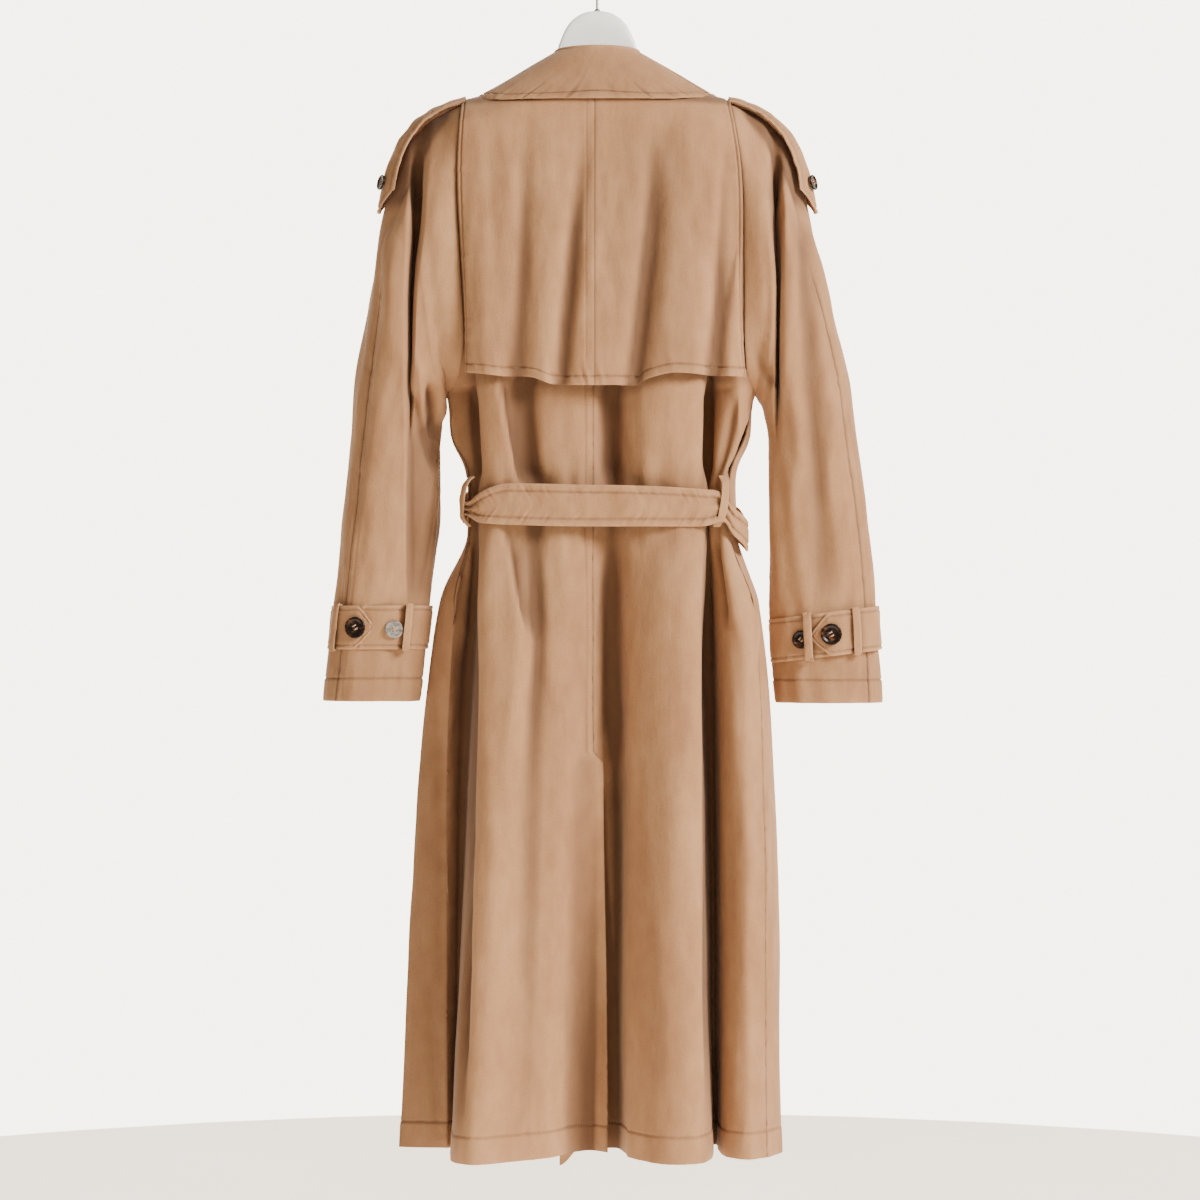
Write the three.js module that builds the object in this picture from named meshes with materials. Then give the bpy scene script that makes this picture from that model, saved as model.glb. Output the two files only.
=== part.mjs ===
// A long belted trench coat hanging on a white hanger, seen and built in millimetres.
// +Z is up, -Y is the wearer's back, -X the wearer's left. The origin is the point of the hook's inside
// that rests on a rail. Every cloth piece is a thin wall with its own seams, open at neck, cuffs and hem.
import * as THREE from "three";

// ---------------------------------------------------------------- driving sizes
const CLOTH = 1.6; // one wall of gabardine
const DOUBLE = 2.4; // collar, straps and loops: two layers with interlining
const SEAM = 0.7; // clear width between two sewn pieces
const LIFT = 0.8; // clear space under a piece that lies on another

const CHEST_Z = -470; // bottom of the armholes
const WAIST_Z = -595; // middle of the belt
const HIP_Z = -700;
const KNEE_Z = -910;
const HEM_Z = -1290;
const VENT_Z = -865; // top of the back vent

const RIDGE_Z = -128; // height of the shoulder ridge above the neck, at x = 0
const RIDGE_SLOPE = 0.235;
const NECK_X = 68; // half width of the neck opening
const NECK_Z = -142;
const SHOULDER_X = 146; // armhole seam on the shoulder
const TORSO_DEPTH = 50; // from the shoulder ridge to the back, and to the front
const SHOULDER_ROUND = 30; // height over which the shoulder rounds into the back

const FABRIC = { color: 0xb88f6b, roughness: 0.86, metalness: 0 };
const HORN = { color: 0x2e1a10, roughness: 0.28, metalness: 0 };
const SHELL = { color: 0xb9a493, roughness: 0.3, metalness: 0 };
const LACQUER = { color: 0xf4f4f2, roughness: 0.35, metalness: 0 };
const STEEL = { color: 0x8c8c88, roughness: 0.3, metalness: 1 };

// ---------------------------------------------------------------- fold lines
// Each row is one ridge, hollow or seam that runs down the coat. top is its x on the shoulder or neck
// seam; x and y are its place at the heights of LEVELS. The rows go round the coat clockwise from above.
const LEVELS = [CHEST_Z, WAIST_Z + 25, WAIST_Z - 25, HIP_Z, KNEE_Z, HEM_Z];
const fold = (name, top, x, y) => ({ name, top, x: withWaist(x), y: withWaist(y) });
function withWaist([chest, waist, ...rest]) {
  return [chest, waist, waist, ...rest];
}

const SIDE_RIGHT = fold("side seam", SHOULDER_X, [171, 141, 168, 178, 180], [-6, -16, -30, -44, -48]);
const SIDE_LEFT = fold("side seam", -SHOULDER_X, [-163, -139, -152, -162, -162], [-4, -14, -16, 0, 8]);
const CENTRE = fold("centre seam", -4, [-4, -4, -4, -4, -2], [-47, -37, -30, -24, -16]);

const FRONT_RIGHT = [
  fold("over edge", NECK_X, [-38, -36, -38, -40, -42], [56, 54, 69, 81, 87]),
  fold("inner front crest", 90, [30, 28, 40, 44, 46], [58, 56, 71, 84, 90]),
  fold("front trough", 106, [72, 66, 88, 98, 104], [50, 44, 50, 54, 56]),
  fold("front crest", 122, [108, 100, 124, 138, 146], [54, 50, 64, 76, 84]),
  fold("turn to the front", 136, [150, 134, 160, 176, 184], [36, 34, 34, 30, 32]),
  fold("right side", 143, [169, 149, 177, 193, 201], [12, 4, 0, -8, -14]),
  SIDE_RIGHT,
];
const BACK_RIGHT = [
  SIDE_RIGHT,
  fold("crest of the side lobe", 138, [154, 136, 152, 157, 160], [-34, -28, -46, -56, -60]),
  fold("edge of the side lobe", 128, [134, 127, 134, 136, 139], [-20, -22, -34, -36, -42]),
  fold("hollow behind the right crease", 116, [120, 119, 121, 125, 128], [-2, -14, 0, 16, 28]),
  fold("right crease", 96, [111, 111, 111, 111, 112], [-50, -43, -58, -70, -78]),
  fold("right crest", 64, [75, 71, 83, 79, 75], [-60, -50, -67, -76, -88]),
  fold("rise", 40, [41, 39, 41, 39, 37], [-47, -39, -45, -46, -52]),
  fold("hollow beside the seam", 16, [15, 14, 12, 19, 22], [-27, -22, -14, -4, 0]),
  CENTRE,
];
const BACK_LEFT = [
  CENTRE,
  fold("dip beside the seam", -20, [-22, -20, -13, -12, -12], [-52, -43, -38, -28, -4]),
  fold("inner crest", -40, [-50, -43, -26, -39, -55], [-55, -46, -52, -56, -52]),
  fold("left trough", -62, [-77, -67, -50, -70, -77], [-36, -32, -40, -62, -66]),
  fold("left crest", -84, [-97, -92, -82, -104, -130], [-58, -46, -62, -76, -90]),
  fold("left crease", -106, [-126, -122, -124, -131, -153], [-44, -36, -48, -60, -70]),
  fold("hollow behind the left crease", -126, [-135, -131, -136, -146, -155], [-6, -14, 4, 16, 26]),
  SIDE_LEFT,
];
const FRONT_LEFT = [
  SIDE_LEFT,
  fold("left side", -144, [-160, -141, -171, -195, -215], [10, 6, 8, 12, 14]),
  fold("turn to the front", -136, [-146, -128, -156, -178, -192], [32, 30, 40, 48, 54]),
  fold("front crest", -120, [-106, -98, -122, -136, -146], [50, 46, 64, 74, 84]),
  fold("front trough", -104, [-68, -62, -82, -94, -100], [46, 40, 44, 50, 52]),
  fold("inner front crest", -88, [-30, -28, -40, -44, -46], [50, 46, 60, 72, 78]),
  fold("under edge", -NECK_X, [40, 38, 40, 42, 44], [44, 41, 54, 62, 66]),
];
// Where the armhole seams run on the back and the front, from the top of the shoulder down.
const ARMHOLE = {
  share: [1, 0.75, 0.45, 0.15, 0],
  left: [-146, -150, -146, -142, -142],
  right: [143, 154, 156, 157, 159],
};

// ---------------------------------------------------------------- storm flap
const FLAP_EDGE = {
  x: [-150, -104, -73, -46, 25, 41, 54, 84, 120, 165],
  z: [-454, -460, -461, -469, -470, -470, -463, -457, -459, -460],
};
const FLAP_SEAM_X = -3;
const flapFold = (name, xTop, xBottom, width, depth) => ({ name, xTop, xBottom, width, depth });
const FLAP_FOLDS = [
  flapFold("left edge hollow", -118, -96, 16, 5),
  flapFold("left trough", -72, -80, 15, 8),
  flapFold("slanting trough", -10, -38, 12, 7),
  flapFold("right trough", 74, 38, 16, 13),
  flapFold("side hollow", 150, 122, 15, 14),
];

// ---------------------------------------------------------------- sleeves
// Rings from below the armhole to the cuff: the shoulder and outer arm line, the underarm line, and how
// far the sleeve stands behind and in front of its middle, which lies at depth mid.
const SLEEVE_COLUMNS = ["outX", "outZ", "inX", "inZ", "mid", "back", "front"];
const sleeveRows = (rows) =>
  rows.map((r) => Object.fromEntries(SLEEVE_COLUMNS.map((name, i) => [name, r[i]])));
const SLEEVES = {
  left: sleeveRows([
    [168, -174, 167, -475, 0, 51, 48],
    [188, -187, 169, -479, 0, 51, 46],
    [204, -205, 171, -484, 0, 52, 44],
    [216, -236, 172, -490, 1, 52, 42],
    [228, -285, 173, -497, 2, 53, 42],
    [241, -352, 173, -506, 4, 52, 42],
    [256, -435, 171, -521, 6, 48, 42],
    [267, -525, 169, -552, 8, 44, 40],
    [276, -610, 170, -614, 10, 41, 38],
    [284, -700, 181, -700, 13, 38, 36],
    [297, -806, 191, -806, 16, 36, 34],
  ]),
  right: sleeveRows([
    [168, -172, 175, -475, 0, 51, 48],
    [187, -184, 178, -479, 0, 51, 46],
    [204, -201, 180, -484, 0, 52, 44],
    [218, -234, 182, -490, 1, 52, 42],
    [230, -285, 183, -497, 2, 53, 42],
    [247, -352, 184, -506, 4, 52, 42],
    [266, -435, 185, -521, 6, 48, 42],
    [280, -525, 185, -552, 8, 44, 40],
    [293, -610, 185, -614, 10, 41, 38],
    [303, -700, 187, -700, 13, 38, 36],
    [309, -808, 193, -808, 16, 36, 34],
  ]),
};
// The deep crease where the hanging sleeve folds over the underarm cloth.
const SLEEVE_CREASE = {
  left: { x: 199, top: -225, bottom: -520, width: 15, depth: 38 },
  right: { x: 192, top: -215, bottom: -480, width: 14, depth: 36 },
};
const ARM_SEAM = 2; // the outer-arm seam lies at this entry of TORSO_SHARES

// ---------------------------------------------------------------- epaulettes, straps and buttons
const EPAULETTE_X = [147, 171, 193, 211, 226, 234, 240];
const EPAULETTE_Z = [-160, -168, -181, -201, -228, -256, -284];
const EPAULETTE_WIDTH = 50;

const CUFF_STRAP = { top: -703, bottom: -750 };
const CUFFS = {
  left: { under: 50, tip: 84, shoulder: 66, button: 66, spare: 109, loops: [30, 124], tilt: 0 },
  right: { under: 80, tip: 106, shoulder: 88, button: 87, spare: 118, loops: [60, 110], tilt: 15 },
};
const BUTTON_RADIUS = 11.5;

const BELT_CENTRE = 5;
const BELT_HALF = 150;
const BELT_BACK = 57;
const BELT_FRONT = 65;
// The belt's edges round the waist: it is drawn in at both loops and sags behind the right hip.
const BELT_EDGES = {
  angle: [-20, 30, 65, 92, 116, 128, 145, 180, 215, 235, 252, 268, 300, 340],
  top: [-574, -578, -594, -612, -600, -584, -581, -576, -573, -579, -587, -583, -577, -574],
  bottom: [-616, -619, -633, -645, -630, -616, -619, -619, -617, -612, -608, -613, -617, -616],
};
const BELT_END = { under: -20, tip: 36 }; // angles of the belt's two ends, 0 at the middle of the front
const BELT_LOOPS = { belt_loop_left: 252, belt_loop_right: 128 };

// Half of the hanger from its middle outward: x, height of the upper and the lower edge, and half depth.
const HANGER = [
  [0, -61.1, -118, 6.5],
  [8, -61.6, -118.4, 6.5],
  [15, -63.4, -119.4, 6.5],
  [22, -67.2, -121, 6.5],
  [28.5, -72.6, -123, 6.5],
  [33.5, -79.4, -126, 6.5],
  [37.5, -87.4, -130, 6.5],
  [41.5, -98, -136, 6.5],
  [45, -112, -142, 6.5],
  [49, -132, -149, 7],
  [54, -147, -155, 8],
  [62, -154.5, -163, 9],
  [92, -165, -178, 13],
  [144, -184, -197, 15],
  [176, -198, -210, 11],
  [187, -205, -212, 6],
  [190, -208, -211, 2],
];
const HOOK_RADIUS = 19;
const HOOK_WIRE = 1.4;

// ---------------------------------------------------------------- small mathematics
const clamp = (v, low = 0, high = 1) => Math.min(high, Math.max(low, v));
const mix = (a, b, s) => a + (b - a) * s;
const ease = (s) => {
  const t = clamp(s);
  return t * t * (3 - 2 * t);
};
const bump = (d) => Math.exp(-d * d);
const range = (n) => Array.from({ length: n }, (_, i) => i);
const spread = (low, high, n) => range(n + 1).map((i) => mix(low, high, i / n));
const vec = (x, y, z) => new THREE.Vector3(x, y, z);
const radians = (degrees) => (degrees * Math.PI) / 180;

// Smooth curve through values at rising or falling stations.
function track(stations, values, at) {
  const n = stations.length - 1;
  const falling = stations[n] < stations[0];
  let i = 0;
  while (i < n - 1 && (falling ? at < stations[i + 1] : at > stations[i + 1])) i += 1;
  const slope = (k) => {
    if (k > 0 && k < n && (values[k + 1] - values[k]) * (values[k] - values[k - 1]) <= 0) return 0;
    const a = Math.max(k - 1, 0);
    const b = Math.min(k + 1, n);
    return (values[b] - values[a]) / (stations[b] - stations[a]);
  };
  const step = stations[i + 1] - stations[i];
  const s = clamp((at - stations[i]) / step);
  const s2 = s * s;
  const s3 = s2 * s;
  return (
    (2 * s3 - 3 * s2 + 1) * values[i] +
    (s3 - 2 * s2 + s) * step * slope(i) +
    (3 * s2 - 2 * s3) * values[i + 1] +
    (s3 - s2) * step * slope(i + 1)
  );
}

// A centripetal Catmull-Rom curve through 2-D points, at u counted in points.
function across(points, u) {
  const n = points.length - 1;
  const i = Math.min(Math.floor(u), n - 1);
  const get = (k) => {
    if (k < 0) return [2 * points[0][0] - points[1][0], 2 * points[0][1] - points[1][1]];
    if (k > n) {
      return [2 * points[n][0] - points[n - 1][0], 2 * points[n][1] - points[n - 1][1]];
    }
    return points[k];
  };
  const p = [get(i - 1), get(i), get(i + 1), get(i + 2)];
  const t = [0];
  for (let k = 0; k < 3; k += 1) {
    t.push(t[k] + Math.max(0.3, Math.sqrt(Math.hypot(p[k + 1][0] - p[k][0], p[k + 1][1] - p[k][1]))));
  }
  const at = mix(t[1], t[2], u - i);
  const blend = (a, b, ta, tb) => [
    ((tb - at) * a[0] + (at - ta) * b[0]) / (tb - ta),
    ((tb - at) * a[1] + (at - ta) * b[1]) / (tb - ta),
  ];
  const a = [0, 1, 2].map((k) => blend(p[k], p[k + 1], t[k], t[k + 1]));
  const b = [0, 1].map((k) => blend(a[k], a[k + 1], t[k], t[k + 2]));
  return blend(b[0], b[1], t[1], t[2]);
}

// ---------------------------------------------------------------- walls from grids of points
// Outward normals of a grid whose rows run clockwise from above and whose columns run down. before and
// after are the neighbouring pieces' columns along a seam, so that two sewn walls stay side by side.
function gridNormals(grid, before, after) {
  const rows = grid.length;
  const columns = grid[0].length;
  const at = (r, c) => grid[clamp(r, 0, rows - 1)][clamp(c, 0, columns - 1)];
  return grid.map((row, r) =>
    row.map((_, c) => {
      const low = c === 0 && before && before[r] ? before[r] : at(r, c - 1);
      const high = c === columns - 1 && after && after[r] ? after[r] : at(r, c + 1);
      const alongRow = high.clone().sub(low);
      const alongColumn = at(r + 1, c).clone().sub(at(r - 1, c));
      return alongRow.cross(alongColumn).normalize();
    }),
  );
}

// A closed wall: the grid is its outer face, and its inner face lies thickness behind it.
function wall(grid, thickness, normals = gridNormals(grid)) {
  const rows = grid.length;
  const columns = grid[0].length;
  const inner = grid.map((row, r) =>
    row.map((p, c) => p.clone().addScaledVector(normals[r][c], -thickness)),
  );
  const positions = [...grid.flat(), ...inner.flat()].flatMap((p) => [p.x, p.y, p.z]);
  const half = rows * columns;
  const id = (layer, r, c) => layer * half + r * columns + c;
  const faces = [];
  const quad = (a, b, c, d) => faces.push(a, b, c, a, c, d);
  const last = columns - 1;
  for (const r of range(rows - 1)) {
    for (const c of range(last)) {
      quad(id(0, r, c), id(0, r, c + 1), id(0, r + 1, c + 1), id(0, r + 1, c));
      quad(id(1, r, c), id(1, r + 1, c), id(1, r + 1, c + 1), id(1, r, c + 1));
    }
    quad(id(0, r, 0), id(0, r + 1, 0), id(1, r + 1, 0), id(1, r, 0));
    quad(id(0, r, last), id(1, r, last), id(1, r + 1, last), id(0, r + 1, last));
  }
  for (const c of range(last)) {
    quad(id(0, 0, c), id(1, 0, c), id(1, 0, c + 1), id(0, 0, c + 1));
    quad(id(0, rows - 1, c), id(0, rows - 1, c + 1), id(1, rows - 1, c + 1), id(1, rows - 1, c));
  }
  const geometry = new THREE.BufferGeometry();
  geometry.setAttribute("position", new THREE.Float32BufferAttribute(positions, 3));
  geometry.setIndex(faces);
  geometry.computeVertexNormals();
  return geometry;
}

// A closed solid from rings of points that follow each other, capped flat at both ends.
function closedRings(rings) {
  const segments = rings[0].length;
  const last = (rings.length - 1) * segments;
  const positions = rings.flat().flatMap((p) => [p.x, p.y, p.z]);
  const start = positions.length / 3;
  for (const ring of [rings[0], rings.at(-1)]) {
    const middle = ring.reduce((sum, p) => sum.add(p), vec(0, 0, 0)).divideScalar(segments);
    positions.push(middle.x, middle.y, middle.z);
  }
  const faces = [];
  for (const r of range(rings.length - 1)) {
    for (const k of range(segments)) {
      const next = (k + 1) % segments;
      const [a, b] = [r * segments + k, r * segments + next];
      faces.push(a, a + segments, b, b, a + segments, b + segments);
    }
  }
  for (const k of range(segments)) {
    const next = (k + 1) % segments;
    faces.push(start, k, next, start + 1, last + next, last + k);
  }
  const geometry = new THREE.BufferGeometry();
  geometry.setAttribute("position", new THREE.Float32BufferAttribute(positions, 3));
  geometry.setIndex(faces);
  geometry.computeVertexNormals();
  return geometry;
}

// A round rod along a path in the X-Z plane.
function rod(path, radius, segments) {
  return closedRings(
    path.map((p, i) => {
      const ahead = path[Math.min(i + 1, path.length - 1)];
      const behind = path[Math.max(i - 1, 0)];
      const tangent = vec(ahead.x - behind.x, 0, ahead.z - behind.z).normalize();
      const normal = vec(tangent.z, 0, -tangent.x);
      return range(segments).map((k) => {
        const a = (k / segments) * 2 * Math.PI;
        const point = p.clone().addScaledVector(normal, Math.cos(a) * radius);
        point.y -= Math.sin(a) * radius;
        return point;
      });
    }),
  );
}

const coat = new THREE.Group();

function add(name, geometry, finish) {
  const mesh = new THREE.Mesh(geometry, new THREE.MeshStandardMaterial(finish));
  mesh.name = name;
  coat.add(mesh);
  return mesh;
}

const column = (grid, c) => grid.map((row) => row.at(c));
const flipped = (grid) => grid.map((row) => [...row].reverse());
const drawIn = (from, to, by) => from.clone().addScaledVector(to.clone().sub(from).normalize(), by);

// The same grid with both end columns moved in by half a seam, so that neighbours stay clear.
function trimmed(grid) {
  return grid.map((row) => [
    drawIn(row[0], row[1], SEAM / 2),
    ...row.slice(1, -1),
    drawIn(row.at(-1), row.at(-2), SEAM / 2),
  ]);
}

// ---------------------------------------------------------------- torso and skirt
const ridgeZ = (x) => RIDGE_Z - RIDGE_SLOPE * Math.abs(x);
const topZ = (x) => Math.min(NECK_Z, ridgeZ(x));

// How far the cloth stands from the ridge plane at a drop below the shoulder ridge: 0 on top, 1 below.
const shoulderArch = (drop) => Math.sqrt(1 - (1 - clamp(drop / SHOULDER_ROUND)) ** 2);
const torsoDepth = (x, z) => TORSO_DEPTH * (1 - 0.1 * (x / SHOULDER_X) ** 4) * shoulderArch(ridgeZ(x) - z);
const underarm = (share) => Math.sqrt(1 - (1 - clamp(share * 5)) ** 2);
const overlapRise = (x) => 5 * ease((60 - x) / 40);

// One fold line's x and y in the torso, at a share of the way up; side is -1 behind, 1 in front, and
// rank counts the lines from the armhole seam, which every line stays inside of.
function torsoPoint(row, share, side, rank) {
  const z = mix(CHEST_Z, topZ(row.top), share);
  const sign = Math.sign(row.top);
  const seam = track(ARMHOLE.share, sign < 0 ? ARMHOLE.left : ARMHOLE.right, share);
  const inside = mix(row.x[0], sign * Math.max(sign * seam - 9 * rank, 20), underarm(share));
  let x = mix(row.x[0], row.top, ease(share));
  if (rank === 0 || sign * x > sign * inside) x = inside;
  const closing = mix(underarm(share), ease(share / 0.45), ease(rank / 4));
  if (row.name.endsWith("edge") && side > 0) x = mix(row.x[0], row.top, clamp((share - 0.38) / 0.6));
  const over = side > 0 && row.top > 0 ? overlapRise(x) : 0;
  return [x, mix(row.y[0], side * (torsoDepth(x, z) + over), closing), z];
}

const TORSO_SHARES = [1, 0.96, 0.86, 0.7, 0.52, 0.35, 0.19, 0.08];
const SKIRT_HEIGHTS = [CHEST_Z, -520, -570, -620, -660, -712, -790, -862, -884, -980, -1120, HEM_Z];

// The lower corner of the overlapping front sags below the hem.
function droop(rows, x, z) {
  return rows === FRONT_RIGHT ? 24 * bump((x + 44) / 24) * ease((KNEE_Z - z) / (KNEE_Z - HEM_Z)) : 0;
}

// The grid of one panel, rows from top to hem, with stations at and halfway between the fold lines.
function panelGrid(rows, side, shift = () => [0, 0]) {
  const stations = spread(0, rows.length - 1, 2 * (rows.length - 1));
  const seamIndex = rows.findIndex((row) => row.name === "side seam");
  const torso = TORSO_SHARES.map((share) => {
    const lines = rows.map((row, i) => torsoPoint(row, share, side, Math.abs(i - seamIndex)));
    const heights = lines.map(([x, , z]) => [x, z]);
    return stations.map((u) => {
      const [x, y] = across(lines, u);
      const onShoulder = share === 1 && Math.abs(x) > NECK_X - 1;
      return vec(x, onShoulder ? side * 0.9 : y, across(heights, u)[1]);
    });
  });
  const skirt = SKIRT_HEIGHTS.map((z) => {
    const lines = rows.map((row) => {
      const [dx, dy] = shift(row, z);
      return [track(LEVELS, row.x, z) + dx, track(LEVELS, row.y, z) + dy];
    });
    return stations.map((u) => {
      const [x, y] = across(lines, u);
      return vec(x, y, z - droop(rows, x, z));
    });
  });
  return [...torso, ...skirt];
}

// Below the vent's top the left back laps over the right one.
const ventOpen = (z) => ease((VENT_Z + 12 - z) / 16);
const ventSlide = (z) => ease((VENT_Z - 6 - z) / 18);
const overlap = (row, z) => (row === CENTRE ? [12 * ventSlide(z), -4 * ventOpen(z)] : [0, 0]);
const underlap = (row, z) => (row === CENTRE ? [-24 * ventSlide(z), 12 * ventOpen(z)] : [0, 0]);

const belowChest = (points) => points.map((p, i) => (i >= TORSO_SHARES.length ? p : null));
const aboveVent = (points) => points.map((p) => (p.z > VENT_Z ? p : null));

function makeBody() {
  const right = panelGrid(FRONT_RIGHT, 1);
  const backRight = panelGrid(BACK_RIGHT, -1, underlap);
  const backLeft = panelGrid(BACK_LEFT, -1, overlap);
  const left = panelGrid(FRONT_LEFT, 1);
  const panel = (name, grid, before, after) =>
    add(name, wall(trimmed(grid), CLOTH, gridNormals(grid, before, after)), FABRIC);
  panel("front_right", right, null, belowChest(column(backRight, 1)));
  panel("back_right", backRight, belowChest(column(right, -2)), aboveVent(column(backLeft, 1)));
  panel("back_left", backLeft, aboveVent(column(backRight, -2)), belowChest(column(left, 1)));
  panel("front_left", left, belowChest(column(backLeft, -2)), null);
}

// The flap has two halves joined on the coat's middle, sewn in at the armholes and loose at its edge.
// s runs from the left armhole (0) over the middle seam (0.5) to the right armhole (1).
function flapPoint(s, share) {
  const between = (left, right) => {
    return s < 0.5 ? mix(left, FLAP_SEAM_X, 2 * s) : mix(FLAP_SEAM_X, right, 2 * s - 1);
  };
  const lowest = between(ARMHOLE.left[4], ARMHOLE.right[4]);
  const edge = track(FLAP_EDGE.x, FLAP_EDGE.z, lowest);
  const up = 1 - share;
  const xLeft = track(ARMHOLE.share, ARMHOLE.left, up) + 1.5;
  const xRight = track(ARMHOLE.share, ARMHOLE.right, up) - 1.5;
  const x = between(xLeft, xRight);
  const inNeck = Math.abs(x) < NECK_X;
  const z = mix(topZ(x) - (inNeck ? 3 : 0), edge, share);
  const flare = 21 * ease(share / 0.9) * (1 - 0.7 * Math.abs(2 * s - 1) ** 6);
  const hollow = FLAP_FOLDS.reduce((sum, f) => {
    const along = mix(f.xTop, f.xBottom, share);
    return sum + f.depth * ease(share / 0.7) * bump((x - along) / f.width);
  }, 0);
  const lift = CLOTH + LIFT + (share < 0.2 ? 3.8 : 1);
  const onSeam = share === 0 && !inNeck ? CLOTH + LIFT + 1 : 0;
  return vec(x, -(torsoDepth(x, z) + lift + Math.max(flare - hollow, flare * 0.15)), z + onSeam);
}

function makeFlap() {
  const half = (from, to) =>
    [0, 0.04, 0.14, 0.3, 0.5, 0.75, 1].map((share) => spread(from, to, 12).map((s) => flapPoint(s, share)));
  const right = half(1, 0.5);
  const left = half(0.5, 0);
  add("storm_flap_right", wall(trimmed(right), CLOTH, gridNormals(right, null, column(left, 1))), FABRIC);
  add("storm_flap_left", wall(trimmed(left), CLOTH, gridNormals(left, column(right, -2), null)), FABRIC);
}

// The turned-back upper fronts: from the rolled edge outward over the front, widest at the notch.
function makeLapel(side, name, lowest) {
  const rows = side > 0 ? FRONT_RIGHT : FRONT_LEFT;
  const edge = rows.find((row) => row.name.endsWith("edge"));
  const grid = spread(0.86, lowest, 6).map((share) => {
    const [rollX, rollY, z] = torsoPoint(edge, share, 1, 6);
    const width = 14 + 58 * ((share - lowest) / (0.86 - lowest));
    return spread(0, 1, 4).map((s) => {
      const x = rollX + side * (width * s + 1);
      const over = side > 0 ? overlapRise(x) : 0;
      const roll = 5 * (1 - (2 * s - 1) ** 2);
      return vec(x, Math.max(rollY, torsoDepth(x, z) + over) + LIFT + CLOTH + 1.5 + roll, z + 10 * s);
    });
  });
  add(name, wall(side > 0 ? grid : flipped(grid), CLOTH), FABRIC);
}

// ---------------------------------------------------------------- collar
// Angle 0 is the middle of the back; the collar runs round to the front on both sides.
function collarPoint(angle, down) {
  const s = Math.sin(radians(angle));
  const c = Math.cos(radians(angle));
  const front = ease((Math.abs(angle) - 90) / 50);
  const flare = down ** 0.85;
  const halfX = mix(48, 130, flare) - 26 * front * down;
  const x = Math.sign(s) * Math.abs(s) ** mix(1, 0.55, down) * halfX;
  const z = mix(-97, -152 - 35 * front, down);
  const depth = Math.abs(c) ** mix(1, 0.7, down) * mix(38, 62, flare);
  const covered = z < ridgeZ(x) ? torsoDepth(x, z) + 7 + 7 * front : 0;
  return vec(x, -Math.sign(c) * Math.max(depth, covered), z);
}

function makeCollar() {
  const angles = spread(138, -138, 26);
  const fall = [0, 0.08, 0.3, 0.55, 0.8, 1].map((down) => angles.map((a) => collarPoint(a, down)));
  add("collar_fall", wall(fall, DOUBLE), FABRIC);
  const stand = [0, 0.5, 1].map((down) =>
    spread(112, -112, 18).map((angle) => {
      const s = Math.sin(radians(angle));
      const c = Math.cos(radians(angle));
      return vec(mix(44.8, 66, down) * s, -mix(34.5, 41, down) * c, mix(-99, NECK_Z + 1.2, down));
    }),
  );
  add("collar_stand", wall(stand, CLOTH), FABRIC);
}

// ---------------------------------------------------------------- sleeves
// A point of a sleeve ring; turn is the share of the ring's width from the underarm (0) to the outer
// arm (1), and side is -1 on the back half, 1 on the front half.
function ringPoint(ring, turn, side) {
  const c = 2 * turn - 1;
  const round = Math.sqrt(1 - c * c) ** 0.85;
  const x = (ring.outX + ring.inX) / 2 + ((ring.outX - ring.inX) / 2) * c;
  const z = (ring.outZ + ring.inZ) / 2 + ((ring.outZ - ring.inZ) / 2) * c;
  return vec(x, ring.mid + side * round * (side < 0 ? ring.back : ring.front), z);
}

function creased(point, crease) {
  const along = ease((crease.top - point.z) / 90) * ease((point.z - crease.bottom) / 90);
  if (point.y < 0) point.y += crease.depth * along * bump((point.x - crease.x) / crease.width);
  return point;
}

// The stations round the sleeve: outer-arm seam, back, underarm, front, top, and back to the seam.
function sleeveStations() {
  const shares = [...TORSO_SHARES, 0];
  const back = shares.slice(ARM_SEAM).map((turn) => ({ turn, side: -1 }));
  const front = [...shares].reverse().map((turn) => ({ turn, side: 1 }));
  const top = shares.slice(1, ARM_SEAM + 1).map((turn) => ({ turn, side: -1 }));
  return { back, front: [...front, ...top] };
}

function makeSleeve(side) {
  const sign = side === "left" ? -1 : 1;
  const seam = side === "left" ? SIDE_LEFT : SIDE_RIGHT;
  const gridOf = (stations) => {
    const armhole = stations.map((s) => {
      const [x, y, z] = torsoPoint(seam, s.turn, s.side, 0);
      return vec(sign * x, s.turn === 1 ? 0 : y, z);
    });
    const rings = SLEEVES[side].map((ring) =>
      stations.map((s) => creased(ringPoint(ring, s.turn, s.side), SLEEVE_CREASE[side])),
    );
    const start = armhole.map((p, i) => drawIn(p, rings[0][i], 2));
    return [start, ...rings].map((row) => row.map((p) => vec(sign * p.x, p.y, p.z)));
  };
  const { back, front } = sleeveStations();
  const backGrid = gridOf(back);
  const frontGrid = gridOf(front);
  const finish = (name, grid, other) => {
    const normals = gridNormals(grid, column(other, -2), column(other, 1));
    const body = trimmed(grid);
    if (sign > 0) return add(name, wall(body, CLOTH, normals), FABRIC);
    const outward = normals.map((row) => row.map((n) => n.clone().negate()));
    return add(name, wall(flipped(body), CLOTH, flipped(outward)), FABRIC);
  };
  finish(`sleeve_back_${side}`, backGrid, frontGrid);
  finish(`sleeve_front_${side}`, frontGrid, backGrid);
}

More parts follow.
